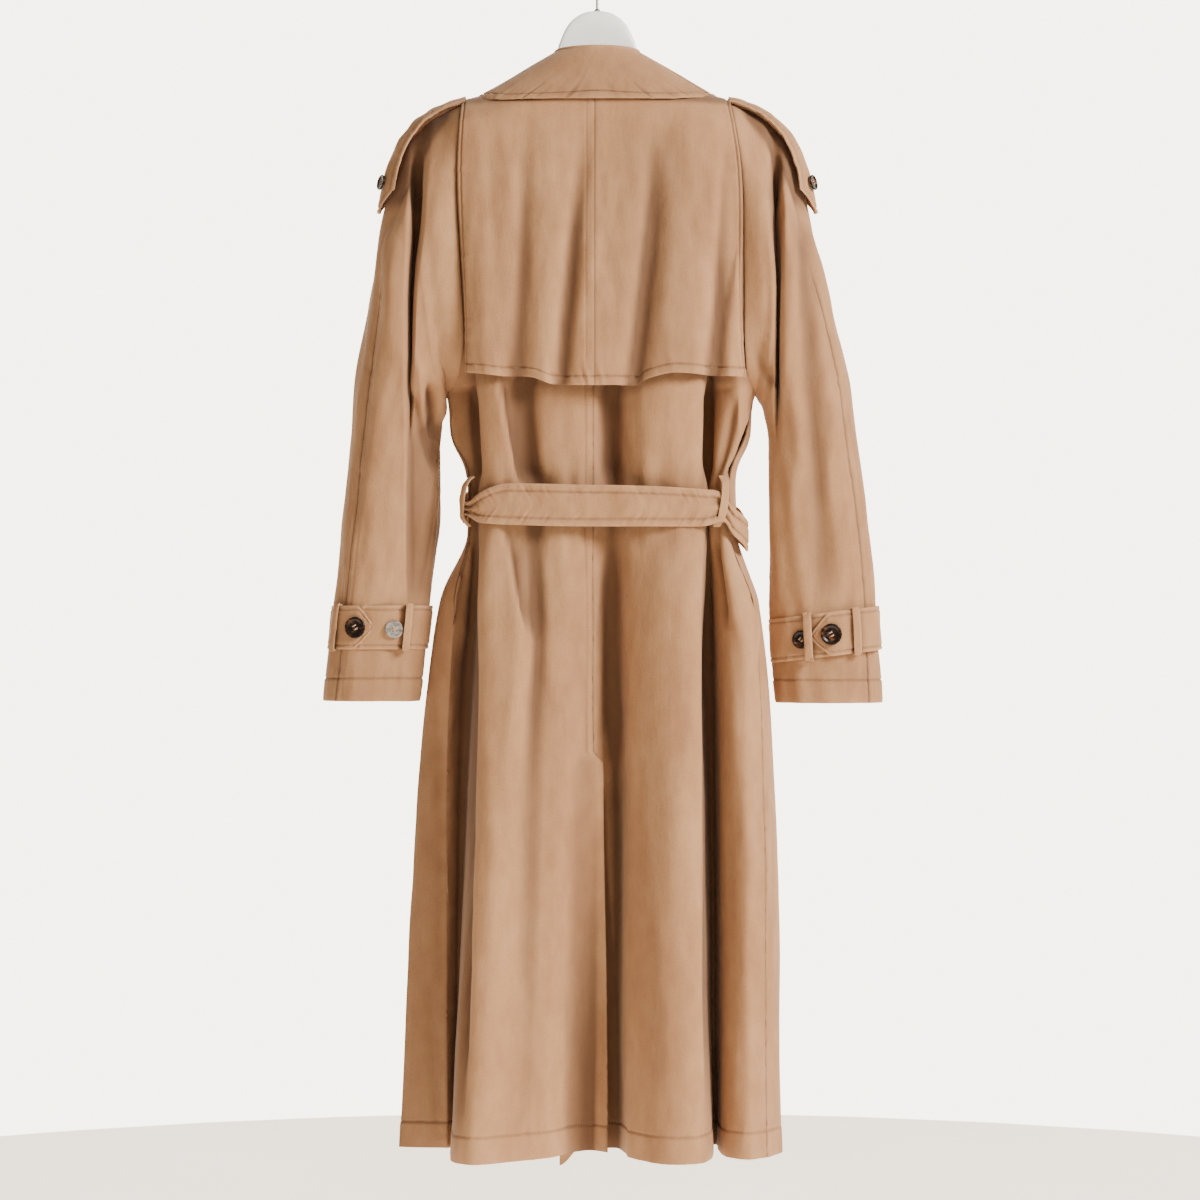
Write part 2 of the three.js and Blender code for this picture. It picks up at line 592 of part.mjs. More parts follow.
// ---------------------------------------------------------------- epaulettes
function epauletteFrame(s) {
  const stations = range(EPAULETTE_X.length);
  const at = s * (EPAULETTE_X.length - 1);
  const point = vec(track(stations, EPAULETTE_X, at), 0, track(stations, EPAULETTE_Z, at));
  const next = vec(track(stations, EPAULETTE_X, at + 0.05), 0, track(stations, EPAULETTE_Z, at + 0.05));
  const last = vec(track(stations, EPAULETTE_X, at - 0.05), 0, track(stations, EPAULETTE_Z, at - 0.05));
  const tangent = next.sub(last).normalize();
  return { point, normal: vec(-tangent.z, 0, tangent.x) };
}

function makeEpaulette(side) {
  const sign = side === "left" ? -1 : 1;
  const grid = spread(0, 1, 10).map((s) => {
    const { point } = epauletteFrame(s);
    const half = (EPAULETTE_WIDTH / 2) * (s > 0.84 ? mix(1, 0.16, (s - 0.84) / 0.16) : 1);
    return [-1, -0.5, 0, 0.5, 1].map((w) => {
      const droop = 3 * w * w;
      return vec(sign * (point.x - droop * s), w * half, point.z - droop * (1 - s));
    });
  });
  add(`epaulette_${side}`, wall(sign > 0 ? flipped(grid) : grid, DOUBLE), FABRIC);
  const { point, normal } = epauletteFrame(0.8);
  const at = point.clone().addScaledVector(normal, 0.6);
  addButton(`epaulette_button_${side}`, vec(sign * at.x, at.y, at.z), vec(sign * normal.x, 0, normal.z), HORN, 0.75);
}

// A round button with a raised rim and a dished middle, on a point of the cloth and facing outward.
function addButton(name, point, normal, finish, scale = 1) {
  const R = BUTTON_RADIUS * scale;
  const profile = [
    [0, 0],
    [R * 0.72, 0],
    [R * 0.95, 0.9],
    [R, 1.8],
    [R * 0.93, 2.9],
    [R * 0.8, 3.1],
    [R * 0.68, 2.3],
    [0, 2.1],
  ];
  const geometry = new THREE.LatheGeometry(
    profile.map(([r, h]) => new THREE.Vector2(r, h)),
    28,
  );
  geometry.applyQuaternion(new THREE.Quaternion().setFromUnitVectors(vec(0, 1, 0), normal));
  geometry.translate(point.x, point.y, point.z);
  add(name, geometry, finish);
}

// ---------------------------------------------------------------- cuff straps
// A point outside the lower sleeve; angle 0 is the outer arm, 90 the middle of the back.
function cuffPoint(side, angle, z, away) {
  const rings = SLEEVES[side];
  const [a, b] = [rings.at(-2), rings.at(-1)];
  const s = (z - a.outZ) / (b.outZ - a.outZ);
  const ring = Object.fromEntries(SLEEVE_COLUMNS.map((key) => [key, mix(a[key], b[key], s)]));
  const at = (degrees) => {
    const turned = ((degrees % 360) + 360) % 360;
    return ringPoint(ring, (1 + Math.cos(radians(turned))) / 2, turned <= 180 ? -1 : 1);
  };
  const along = at(angle + 2).sub(at(angle - 2)).normalize();
  const normal = vec(-along.y, along.x, 0);
  const sign = side === "left" ? -1 : 1;
  const point = at(angle).addScaledVector(normal, away);
  return { point: vec(sign * point.x, point.y, z), normal: vec(sign * normal.x, normal.y, 0) };
}

function makeCuff(side) {
  const cuff = CUFFS[side];
  const end = 360 + cuff.tip;
  const middle = (CUFF_STRAP.top + CUFF_STRAP.bottom) / 2;
  const away = (angle) => LIFT + DOUBLE + 4.4 * ease((angle - 372) / 26);
  // The strap hangs lower on the inner side of the arm by tilt.
  const place = (angle, z, off) => {
    const drop = (cuff.tilt * (1 - Math.cos(radians(angle)))) / 2;
    return cuffPoint(side, angle, z - drop, off);
  };
  const angles = [...spread(cuff.under, 360, 24), ...spread(372, 360 + cuff.shoulder, 5), end];
  const rows = [0, 1 / 3, 2 / 3, 1].map((s) =>
    angles.map((angle) => {
      const narrow = angle === end ? 0.2 : 1;
      const z = mix(middle, mix(CUFF_STRAP.top, CUFF_STRAP.bottom, s), narrow);
      return place(angle, z, away(angle)).point;
    }),
  );
  const oriented = (grid) => (side === "left" ? flipped(grid) : grid);
  add(`cuff_strap_${side}`, wall(oriented(rows), DOUBLE), FABRIC);
  cuff.loops.forEach((angle, i) => {
    const span = CUFF_STRAP.top - CUFF_STRAP.bottom;
    const grid = [
      [8, 0.2],
      [4.5, 4.6],
      [1.5, 8.8],
      [-span - 1.5, 8.8],
      [-span - 4.5, 4.6],
      [-span - 8, 0.2],
    ].map(([above, off]) =>
      [-4.6, 4.6].map((d) => place(angle + d, CUFF_STRAP.top + above, off + DOUBLE).point),
    );
    add(`strap_loop_${side}_${"ab"[i]}`, wall(oriented(grid), CLOTH), FABRIC);
  });
  const onTip = place(cuff.button, middle, LIFT + DOUBLE + 5.2);
  addButton(`cuff_button_${side}_a`, onTip.point, onTip.normal, HORN);
  const spare = place(cuff.spare, middle - 2, LIFT + DOUBLE + 0.8);
  addButton(`cuff_button_${side}_b`, spare.point, spare.normal, side === "left" ? SHELL : HORN, 0.85);
}

// ---------------------------------------------------------------- belt
// A point of the belt's ring; angle 0 is the front, 90 the right side, 180 the middle of the back.
function beltPoint(angle, z, away) {
  const at = (degrees) => {
    const s = Math.sin(radians(degrees));
    const c = Math.cos(radians(degrees));
    const depth = c > 0 ? BELT_FRONT : BELT_BACK;
    const power = 2 / 3;
    return vec(
      BELT_CENTRE + Math.sign(s) * Math.abs(s) ** power * BELT_HALF,
      Math.sign(c) * Math.abs(c) ** power * depth,
      z,
    );
  };
  const along = at(angle + 0.5).sub(at(angle - 0.5)).normalize();
  const normal = vec(-along.y, along.x, 0);
  return { point: at(angle).addScaledVector(normal, away), normal };
}

// How far the cloth of the waist lies inside the belt's ring, measured along the ring's normal.
function waistGap(angle, z) {
  const { point, normal } = beltPoint(angle, z, 0);
  const gaps = [FRONT_RIGHT, BACK_RIGHT, BACK_LEFT, FRONT_LEFT].flatMap((rows) => {
    const lines = rows.map((row) => [track(LEVELS, row.x, z), track(LEVELS, row.y, z)]);
    const points = spread(0, rows.length - 1, 8 * (rows.length - 1)).map((u) => across(lines, u));
    return points
      .map(([x, y]) => vec(x, y, z).sub(point))
      .filter((d) => Math.abs(d.x * normal.y - d.y * normal.x) < 6)
      .map((d) => -d.dot(normal))
      .filter((gap) => gap < 60);
  });
  return Math.min(...gaps);
}

function makeBelt() {
  const edgeAt = (edge, angle) => track(BELT_EDGES.angle, BELT_EDGES[edge], angle > 340 ? angle - 360 : angle);
  const sag = (angle) => 6 * ease((angle - 45) / 25) * ease((124 - angle) / 20);
  const end = 360 + BELT_END.tip;
  const lapStart = 360 + BELT_END.under;
  const away = (angle) => DOUBLE + sag(angle) + 4.6 * ease((angle - lapStart + 14) / 12);
  const angles = [...spread(BELT_END.under, lapStart - 14, 46), ...spread(lapStart - 8, end - 5, 12), end];
  const grid = [0, 1 / 3, 2 / 3, 1].map((s) =>
    angles.map((angle) => {
      const z = mix(edgeAt("top", angle), edgeAt("bottom", angle), angle === end ? mix(0.42, 0.58, s) : s);
      return beltPoint(angle, z, away(angle)).point;
    }),
  );
  add("belt", wall(grid, DOUBLE), FABRIC);

  for (const [name, angle] of Object.entries(BELT_LOOPS)) {
    const onCloth = (z) => CLOTH + 0.5 - waistGap(angle, z);
    const top = edgeAt("top", angle);
    const bottom = edgeAt("bottom", angle);
    const rows = [
      [top + 15, onCloth(top + 15)],
      [top + 9, onCloth(top + 9)],
      [top + 4, DOUBLE + CLOTH + 1],
      [bottom - 5, DOUBLE + CLOTH + 1],
      [bottom - 10, onCloth(bottom - 10)],
      [bottom - 16, onCloth(bottom - 16)],
    ];
    const strip = rows.map(([z, off]) => {
      const { point, normal } = beltPoint(angle, z, off);
      const along = vec(normal.y, -normal.x, 0);
      return [-4.5, 4.5].map((w) => point.clone().addScaledVector(along, w));
    });
    add(name, wall(strip, CLOTH), FABRIC);
  }

  const frame = new THREE.Shape();
  frame.moveTo(-24, -29).lineTo(24, -29).lineTo(24, 29).lineTo(-24, 29).closePath();
  const inside = new THREE.Path();
  inside.moveTo(-18, -24).lineTo(-18, 24).lineTo(18, 24).lineTo(18, -24).closePath();
  frame.holes.push(inside);
  const buckle = new THREE.ExtrudeGeometry(frame, { depth: 3, bevelEnabled: false });
  const { point } = beltPoint(BELT_END.under + 10, WAIST_Z, DOUBLE + 4.6 + 0.6);
  buckle.rotateX(Math.PI / 2);
  buckle.translate(point.x, point.y + 3, point.z);
  add("belt_buckle", buckle, HORN);
}

// ---------------------------------------------------------------- hanger
function makeHanger() {
  const half = HANGER.map(([x, top, bottom, deep]) => ({ x, top, bottom, deep }));
  const left = half.slice(1).reverse();
  const stations = [...left.map((row) => ({ ...row, x: -row.x })), ...half];
  const sides = 16;
  const rings = stations.map(({ x, top, bottom, deep }) =>
    range(sides).map((k) => {
      const a = (k / sides) * 2 * Math.PI;
      const [c, s] = [Math.cos(a), Math.sin(a)];
      const round = (v) => Math.sign(v) * Math.abs(v) ** 0.75;
      return vec(x, round(s) * deep, (top + bottom) / 2 + (round(c) * (top - bottom)) / 2);
    }),
  );
  add("hanger", closedRings(rings), LACQUER);

  const turn = spread(-50, 205, 22).map((a) => {
    const reach = HOOK_RADIUS + HOOK_WIRE;
    return vec(reach * Math.cos(radians(a)), 0, -HOOK_RADIUS + reach * Math.sin(radians(a)));
  });
  const wire = [vec(0, 0, -60.8), vec(0, 0, -54), vec(0.3, 0, -48), vec(3.5, 0, -42), vec(8.5, 0, -38), ...turn];
  add("hook", rod(wire, HOOK_WIRE, 10), STEEL);
}

makeBody();
makeFlap();
makeLapel(1, "lapel_right", 0.42);
makeLapel(-1, "lapel_left", 0.68);
makeCollar();
makeSleeve("left");
makeSleeve("right");
makeEpaulette("left");
makeEpaulette("right");
makeCuff("left");
makeCuff("right");
makeBelt();
makeHanger();

export default coat;
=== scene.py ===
"""A belted trench coat hanging empty on a white hanger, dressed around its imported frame.

Lengths in the tables are millimetres; meshes are made in metres. +Z is up, -Y is the coat's back and -X
the wearer's left. Every cloth piece is a grid of points with rows that run clockwise seen from above and
columns that run down, so that the cross product of the two directions points out of the cloth.
"""

import logging
import math
from dataclasses import dataclass, field
from enum import Enum

import bpy
import numpy as np
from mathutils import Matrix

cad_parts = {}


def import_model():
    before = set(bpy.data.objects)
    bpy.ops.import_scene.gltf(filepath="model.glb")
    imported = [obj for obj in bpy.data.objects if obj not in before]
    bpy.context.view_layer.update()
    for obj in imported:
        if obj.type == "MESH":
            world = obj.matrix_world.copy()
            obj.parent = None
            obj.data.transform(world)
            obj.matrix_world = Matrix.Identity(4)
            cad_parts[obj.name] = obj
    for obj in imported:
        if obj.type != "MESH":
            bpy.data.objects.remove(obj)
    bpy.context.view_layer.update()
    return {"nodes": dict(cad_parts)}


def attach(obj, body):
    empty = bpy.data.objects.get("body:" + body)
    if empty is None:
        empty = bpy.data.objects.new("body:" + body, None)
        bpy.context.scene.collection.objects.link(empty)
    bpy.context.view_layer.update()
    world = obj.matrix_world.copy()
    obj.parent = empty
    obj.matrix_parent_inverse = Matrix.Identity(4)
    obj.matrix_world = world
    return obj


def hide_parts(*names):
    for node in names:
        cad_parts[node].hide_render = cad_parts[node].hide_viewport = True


LOG = logging.getLogger("trench_coat")
Array = np.ndarray
MM = 0.001

# The wall of one cloth and of a doubled one, and the room between cloths that lie on each other.
CLOTH = 1.6
DOUBLE = 2.4
LIFT = 0.8
# How far rows of stitches lie from the hem, the flap's and collar's edges, a cuff's end and a seam.
HEM_ROW, EDGE_ROW, CUFF_ROW, SEAM_ROW = 28, 9.5, 25, 9
# Heights of the levels that the fold lines are given at, then of the vent, shoulder ridge and neck.
CHEST_Z, WAIST_Z, HIP_Z, KNEE_Z, HEM_Z = -470.0, -595.0, -700.0, -910.0, -1290.0
VENT_Z = -865.0
RIDGE_Z, RIDGE_SLOPE = -128.0, 0.235
NECK_X, NECK_Z = 68.0, -142.0
SHOULDER_X = 146.0
TORSO_DEPTH, SHOULDER_ROUND = 50.0, 30.0
LEVELS = (CHEST_Z, WAIST_Z + 25, WAIST_Z - 25, HIP_Z, KNEE_Z, HEM_Z)


class Side(Enum):
    """The wearer's two sides, with the sign of their X."""

    LEFT = -1
    RIGHT = 1

    @property
    def word(self) -> str:
        """The side's name as node names use it."""
        return self.name.lower()


class Face(Enum):
    """The back or the front of the coat, with the sign of its Y."""

    BACK = -1
    FRONT = 1


# ---- curves and fields
def ease(s: Array) -> Array:
    """Smooth step from 0 to 1: 3t^2 - 2t^3 with t the value held between 0 and 1."""
    t = np.clip(s, 0, 1)
    return t * t * (3 - 2 * t)


def signed(a: Array, power: Array) -> Array:
    """A sine or cosine to a power, with its sign kept: an oval of these is squarer the lower the power."""
    return np.sign(a) * np.abs(a) ** power


def mix(a: Array, b: Array, s: Array) -> Array:
    """Straight blend from a (s = 0) to b (s = 1)."""
    return a + (b - a) * s


def bump(d: Array) -> Array:
    """Bell of height 1: e to the minus d squared."""
    return np.exp(-np.square(d))


def track(stations: tuple, values: tuple, at: Array) -> Array:
    """Smooth curve through values, level where they turn back.

    Cubic Hermite pieces whose slope at a station is the chord over its two neighbours, or 0 at a peak.

    Args:
        stations: rising or falling places of the values.
        values: one value for each station.
        at: places to read.

    Returns:
        The curve's values at those places.
    """
    s, v = np.asarray(stations, float), np.asarray(values, float)
    if s[-1] < s[0]:
        s, v = s[::-1], v[::-1]
    rise = np.diff(v) / np.diff(s)
    slope = np.empty_like(v)
    slope[1:-1] = (v[2:] - v[:-2]) / (s[2:] - s[:-2])
    slope[1:-1][rise[1:] * rise[:-1] <= 0] = 0
    slope[0], slope[-1] = rise[0], rise[-1]
    at = np.asarray(at, float)
    i = np.clip(np.searchsorted(s, at, side="right") - 1, 0, len(s) - 2)
    step = s[i + 1] - s[i]
    t = np.clip((at - s[i]) / step, 0, 1)
    return (
        (2 * t**3 - 3 * t**2 + 1) * v[i]
        + (t**3 - 2 * t**2 + t) * step * slope[i]
        + (3 * t**2 - 2 * t**3) * v[i + 1]
        + (t**3 - t**2) * step * slope[i + 1]
    )


def across(x: Array, y: Array, u: Array) -> tuple[Array, Array]:
    """Centripetal Catmull-Rom curves through each row's points.

    Args:
        x: X of the points, one row for each curve.
        y: Y of the points.
        u: places along every curve, counted in points.

    Returns:
        X and Y of the curves, one row for each input row.
    """

    def padded(a: Array) -> Array:
        """The points with one more at each end, carried straight on."""
        return np.concatenate([2 * a[:, :1] - a[:, 1:2], a, 2 * a[:, -1:] - a[:, -2:-1]], axis=1)

    wide_x, wide_y = padded(x), padded(y)
    i = np.minimum(u.astype(int), x.shape[1] - 2)
    px = [wide_x[:, i + k] for k in range(4)]
    py = [wide_y[:, i + k] for k in range(4)]
    knots = [np.zeros_like(px[0])]
    for k in range(3):
        reach = np.sqrt(np.hypot(px[k + 1] - px[k], py[k + 1] - py[k]))
        knots.append(knots[-1] + np.maximum(0.3, reach))
    at = mix(knots[1], knots[2], u - i)

    def read(p: list) -> Array:
        """Three rounds of straight blends between the knots."""

        def blend(a: Array, b: Array, m: int, n: int) -> Array:
            """The straight line through a at knot m and b at knot n."""
            return ((knots[n] - at) * a + (at - knots[m]) * b) / (knots[n] - knots[m])

        a = [blend(p[k], p[k + 1], k, k + 1) for k in range(3)]
        b = [blend(a[k], a[k + 1], k, k + 2) for k in range(2)]
        return blend(b[0], b[1], 1, 2)

    return read(px), read(py)


def through(points: Array, at: Array) -> Array:
    """Catmull-Rom curve through the first axis of an array, at places counted in entries."""
    n = len(points) - 1
    i = np.clip(at.astype(int), 0, n - 1)
    t = (at - i).reshape(-1, *[1] * (points.ndim - 1))
    p0, p1 = points[np.maximum(i - 1, 0)], points[i]
    p2, p3 = points[i + 1], points[np.minimum(i + 2, n)]
    return 0.5 * (
        2 * p1 + (p2 - p0) * t + (2 * p0 - 5 * p1 + 4 * p2 - p3) * t**2 + (3 * p1 - 3 * p2 + p3 - p0) * t**3
    )


@dataclass(frozen=True)
class Ripple:
    """A smooth random field: a sum of plane waves with the given wavelengths along X, Y and Z."""

    seed: int
    wide: float
    tall: float
    waves: int = 22

    def __call__(self, points: Array) -> Array:
        """The sum of cosines of random direction and phase, brought to about 1 in size."""
        rng = np.random.default_rng(self.seed)
        total = np.zeros(points.shape[:-1])
        for _ in range(self.waves):
            turn, phase = rng.uniform(0, math.tau, 2)
            size = rng.uniform(0.6, 1.5)
            level = rng.uniform(-1, 1)
            flat = math.tau / (self.wide * size)
            wave = points[..., 0] * math.cos(turn) * flat + points[..., 1] * math.sin(turn) * flat
            total += np.cos(wave + points[..., 2] * level * math.tau / (self.tall * size) + phase)
        return total / math.sqrt(self.waves / 2)


@dataclass(frozen=True)
class Crease:
    """A long soft ridge (height over 0) or hollow (under 0) laid on the cloth from one point to another."""

    x0: float
    z0: float
    x1: float
    z1: float
    width: float
    height: float
    bow: float = 0.0
    fade: float = 0.3
    right: float = 0.0

    def __call__(self, points: Array) -> Array:
        """A bell across the line from (x0, z0) to (x1, z1), bowed sideways, and eased in at both ends.

        Where right is given, it is the bell's width towards +x, so that a fold can have one steep side.
        """
        dx, dz = self.x1 - self.x0, self.z1 - self.z0
        length = math.hypot(dx, dz)
        px, pz = points[..., 0] - self.x0, points[..., 2] - self.z0
        t = (px * dx + pz * dz) / length**2
        away = (px * dz - pz * dx) / length - self.bow * 4 * t * (1 - t)
        ends = ease(t / self.fade + 0.15) * ease((1 - t) / self.fade + 0.15)
        wide = np.where(away < 0, self.right or self.width, self.width)
        return self.height * bump(away / wide) * ends


def laid(points: Array, creases: list[Crease]) -> Array:
    """The sum of all the creases' heights at the points."""
    total = np.zeros(points.shape[:-1])
    for crease in creases:
        total += crease(points)
    return total


def pucker(
    along: Array, away: Array, wave: float, reach: float, height: float, seed: int, lean: float = 0
) -> Array:
    """The small ripples that a row of stitches draws up.

    Four sines of nearby wavelengths along the seam, faded by e to the minus distance over reach.

    Args:
        along: distance along the seam.
        away: signed distance from it.
        wave: the ripples' wavelength.
        reach: distance over which they die out.
        height: their height at the seam.
        seed: number that sets the phases.
        lean: how far the ripples slant for each millimetre away from the seam.

    Returns:
        Heights.
    """
    rng = np.random.default_rng(seed)
    s = along + lean * away
    total = np.zeros(np.broadcast(along, away).shape)
    for factor in (0.72, 1.0, 1.37, 2.1):
        total = total + np.sin(math.tau * s / (wave * factor) + rng.uniform(0, math.tau))
    slow = 0.65 + 0.35 * np.sin(math.tau * s / (wave * 7.3) + rng.uniform(0, math.tau))
    return height * slow * total / 2 * np.exp(-np.abs(away) / reach)


def stitched(away: Array, depth: float = 0.7) -> Array:
    """The groove that a row of stitches presses into the cloth: a narrow bell, depth deep."""
    return -depth * bump(away / 1.1)


# ---- grids of cloth
@dataclass
class Grid:
    """A sheet of points, shape rows x columns x 3, in millimetres."""

    points: Array

    def normals(self, before: Array | None = None, after: Array | None = None) -> Array:
        """Unit normals: the cross product of the steps along the row and down the column."""
        p = self.points
        low = p[:, :1] if before is None else before
        high = p[:, -1:] if after is None else after
        wide = np.concatenate([low, p, high], axis=1)
        along = wide[:, 2:] - wide[:, :-2]
        down = np.gradient(p, axis=0)
        n = np.cross(along, down)
        return n / np.maximum(np.linalg.norm(n, axis=2, keepdims=True), 1e-9)

    def raised(self, height: Array, normals: Array | None = None) -> "Grid":
        """The grid moved out along its normals by a height at each point."""
        n = self.normals() if normals is None else normals
        return Grid(self.points + n * np.asarray(height)[..., None])

    def hollow(self, reach: float) -> Array:
        """How deep each point lies below the line between its neighbours to both sides, 0 to 1.

        Args:
            reach: how far the neighbours lie, in mm; those half as far count too.
        """
        points, normals = self.points, self.normals()
        spacing = self.across_mm()[:, -1].mean() / (points.shape[1] - 1)
        total = np.zeros(points.shape[:2])
        for part in (0.5, 1.0):
            k = max(1, round(part * reach / spacing))
            chord = (points[:, : -2 * k] + points[:, 2 * k :]) / 2
            depth = ((chord - points[:, k:-k]) * normals[:, k:-k]).sum(axis=2) / (part * reach)
            total += np.pad(depth, ((0, 0), (k, k)), mode="edge")
        return np.clip(1.3 * total, 0, 1)

    def across_mm(self) -> Array:
        """Distance along each row from its first point."""
        steps = np.linalg.norm(np.diff(self.points, axis=1), axis=2)
        return np.concatenate([np.zeros((len(steps), 1)), np.cumsum(steps, axis=1)], axis=1)

    def down_mm(self) -> Array:
        """Distance down each column from its first point."""
        steps = np.linalg.norm(np.diff(self.points, axis=0), axis=2)
        return np.concatenate([np.zeros((1, steps.shape[1])), np.cumsum(steps, axis=0)], axis=0)

    def up_mm(self) -> Array:
        """Distance up each column from its last point."""
        down = self.down_mm()
        return down[-1:] - down

    def from_sides(self) -> Array:
        """Distance along each row to its nearer end."""
        run = self.across_mm()
        return np.minimum(run, run[:, -1:] - run)

    def from_ends(self) -> Array:
        """Distance along each column to its nearer end."""
        return np.minimum(self.down_mm(), self.up_mm())

    def row(self, at: float) -> Array:
        """The points of one row, at a place counted in rows."""
        i = int(min(at, len(self.points) - 2))
        return mix(self.points[i], self.points[i + 1], at - i)


def quads(rows: int, columns: int) -> Array:
    """Corner numbers of every cell of a grid, in the order that faces out."""
    first = (np.arange(rows - 1)[:, None] * columns + np.arange(columns - 1)).reshape(-1)
    return np.stack([first, first + 1, first + columns + 1, first + columns], axis=1)


def make_object(name: str, points: Array, faces: Array, smooth: bool = True) -> bpy.types.Object:
    """Puts points in millimetres and faces into a new object at the origin."""
    mesh = bpy.data.meshes.new(name)
    mesh.from_pydata((np.asarray(points).reshape(-1, 3) * MM).tolist(), [], np.asarray(faces).tolist())
    mesh.polygons.foreach_set("use_smooth", np.full(len(mesh.polygons), smooth))
    mesh.update()
    made = bpy.data.objects.new(name, mesh)
    bpy.context.scene.collection.objects.link(made)
    return made


def give_uv(made: bpy.types.Object, u: Array, v: Array) -> None:
    """Writes the UV map "weave" from a pair of values in metres at every point."""
    mesh = made.data
    corner = np.empty(len(mesh.loops), dtype=np.int32)
    mesh.loops.foreach_get("vertex_index", corner)
    pair = np.stack([np.broadcast_to(u, v.shape).reshape(-1), v.reshape(-1)], axis=1)[corner]
    mesh.uv_layers.new(name="weave").data.foreach_set("uv", pair.astype(np.float32).reshape(-1))


def give_value(made: bpy.types.Object, name: str, values: Array) -> None:
    """Writes one number at every point as a named attribute."""
    layer = made.data.attributes.new(name, "FLOAT", "POINT")
    layer.data.foreach_set("value", np.asarray(values, dtype=np.float32).reshape(-1))


def mark_rim(made: bpy.types.Object, rows: int, columns: int) -> None:
    """Marks the edges round a sheet as sharp, so that its shading doesn't run over onto the wall's rim."""
    mesh = made.data
    ends = np.empty(2 * len(mesh.edges), dtype=np.int32)
    mesh.edges.foreach_get("vertices", ends)
    row, column = (ends // columns).reshape(-1, 2), (ends % columns).reshape(-1, 2)
    level = (row[:, 0] == row[:, 1]) & np.isin(row[:, 0], (0, rows - 1))
    upright = (column[:, 0] == column[:, 1]) & np.isin(column[:, 0], (0, columns - 1))
    sharp = mesh.attributes.new("sharp_edge", "BOOLEAN", "EDGE")
    sharp.data.foreach_set("value", level | upright)


def both_sides(table: dict[str, tuple]) -> dict[str, tuple]:
    """The table with each name that ends in _ given twice, for the left and the right piece."""
    sides = {True: ("left", "right"), False: ("",)}
    return {name + side: row for name, row in table.items() for side in sides[name.endswith("_")]}


# For each thinned sheet: one in how many rows and columns is kept, and how many at each end all stay.
THINNED = both_sides(
    {
        "front_": (1, 3, 11),
        "storm_flap_": (1, 2, 17),
        "collar_fall": (1, 2, 30),
        "collar_stand": (1, 2, 10),
        "lapel_": (1, 2, 6),
        "sleeve_back_": (1, 2, 16),
        "sleeve_front_": (1, 3, 16),
        "epaulette_": (2, 1, 20),
        "cuff_strap_": (1, 2, 24),
        "belt": (2, 1, 8),
    }
)


def kept(count: int, step: int, margin: int) -> Array:
    """The rows or columns that a sheet keeps: all of those near its ends, and one in step between them."""
    index = np.arange(count)
    between = (index >= margin) & (index < count - margin)
    return index[~between | ((index - margin) % step == 0)]


def sew_sheet(
    name: str,
    grid: Grid,
    thickness: float,
    wear: Array | None = None,
    hollow: Array | None = None,
) -> bpy.types.Object:
    """Makes a cloth wall from the grid of its outer face.

    Args:
        name: the piece's name.
        grid: the outer face.
        thickness: the wall, laid inside the outer face.
        wear: 0 to 1 at each point, how much the piece is rubbed there.
        hollow: 0 to 1 at each point, how much painted shade darkens it: deep in folds, at seams and stitches,
            and under other pieces.

    Returns:
        The object.
    """
    shape = grid.points.shape[:2]
    row_step, column_step, margin = THINNED.get(name, (1, 1, 1))
    pick = np.ix_(kept(shape[0], row_step, margin), kept(shape[1], column_step, margin))
    points = grid.points[pick]
    rows, columns = points.shape[:2]
    made = make_object(f"{name}_cloth", points, quads(rows, columns))
    give_uv(made, grid.across_mm()[pick] * MM, -grid.down_mm()[pick] * MM)
    mark_rim(made, rows, columns)
    # The hollow attribute carries painted shade; the wear attribute carries real rubbing.
    for key, value in (("wear", wear), ("hollow", hollow)):
        give_value(made, key, np.broadcast_to(0 if value is None else np.clip(value, 0, 1), shape)[pick])
    made.data.materials.append(GABARDINE.material())
    wall = made.modifiers.new("wall", "SOLIDIFY")
    wall.thickness = thickness * MM
    wall.offset = -1
    return made


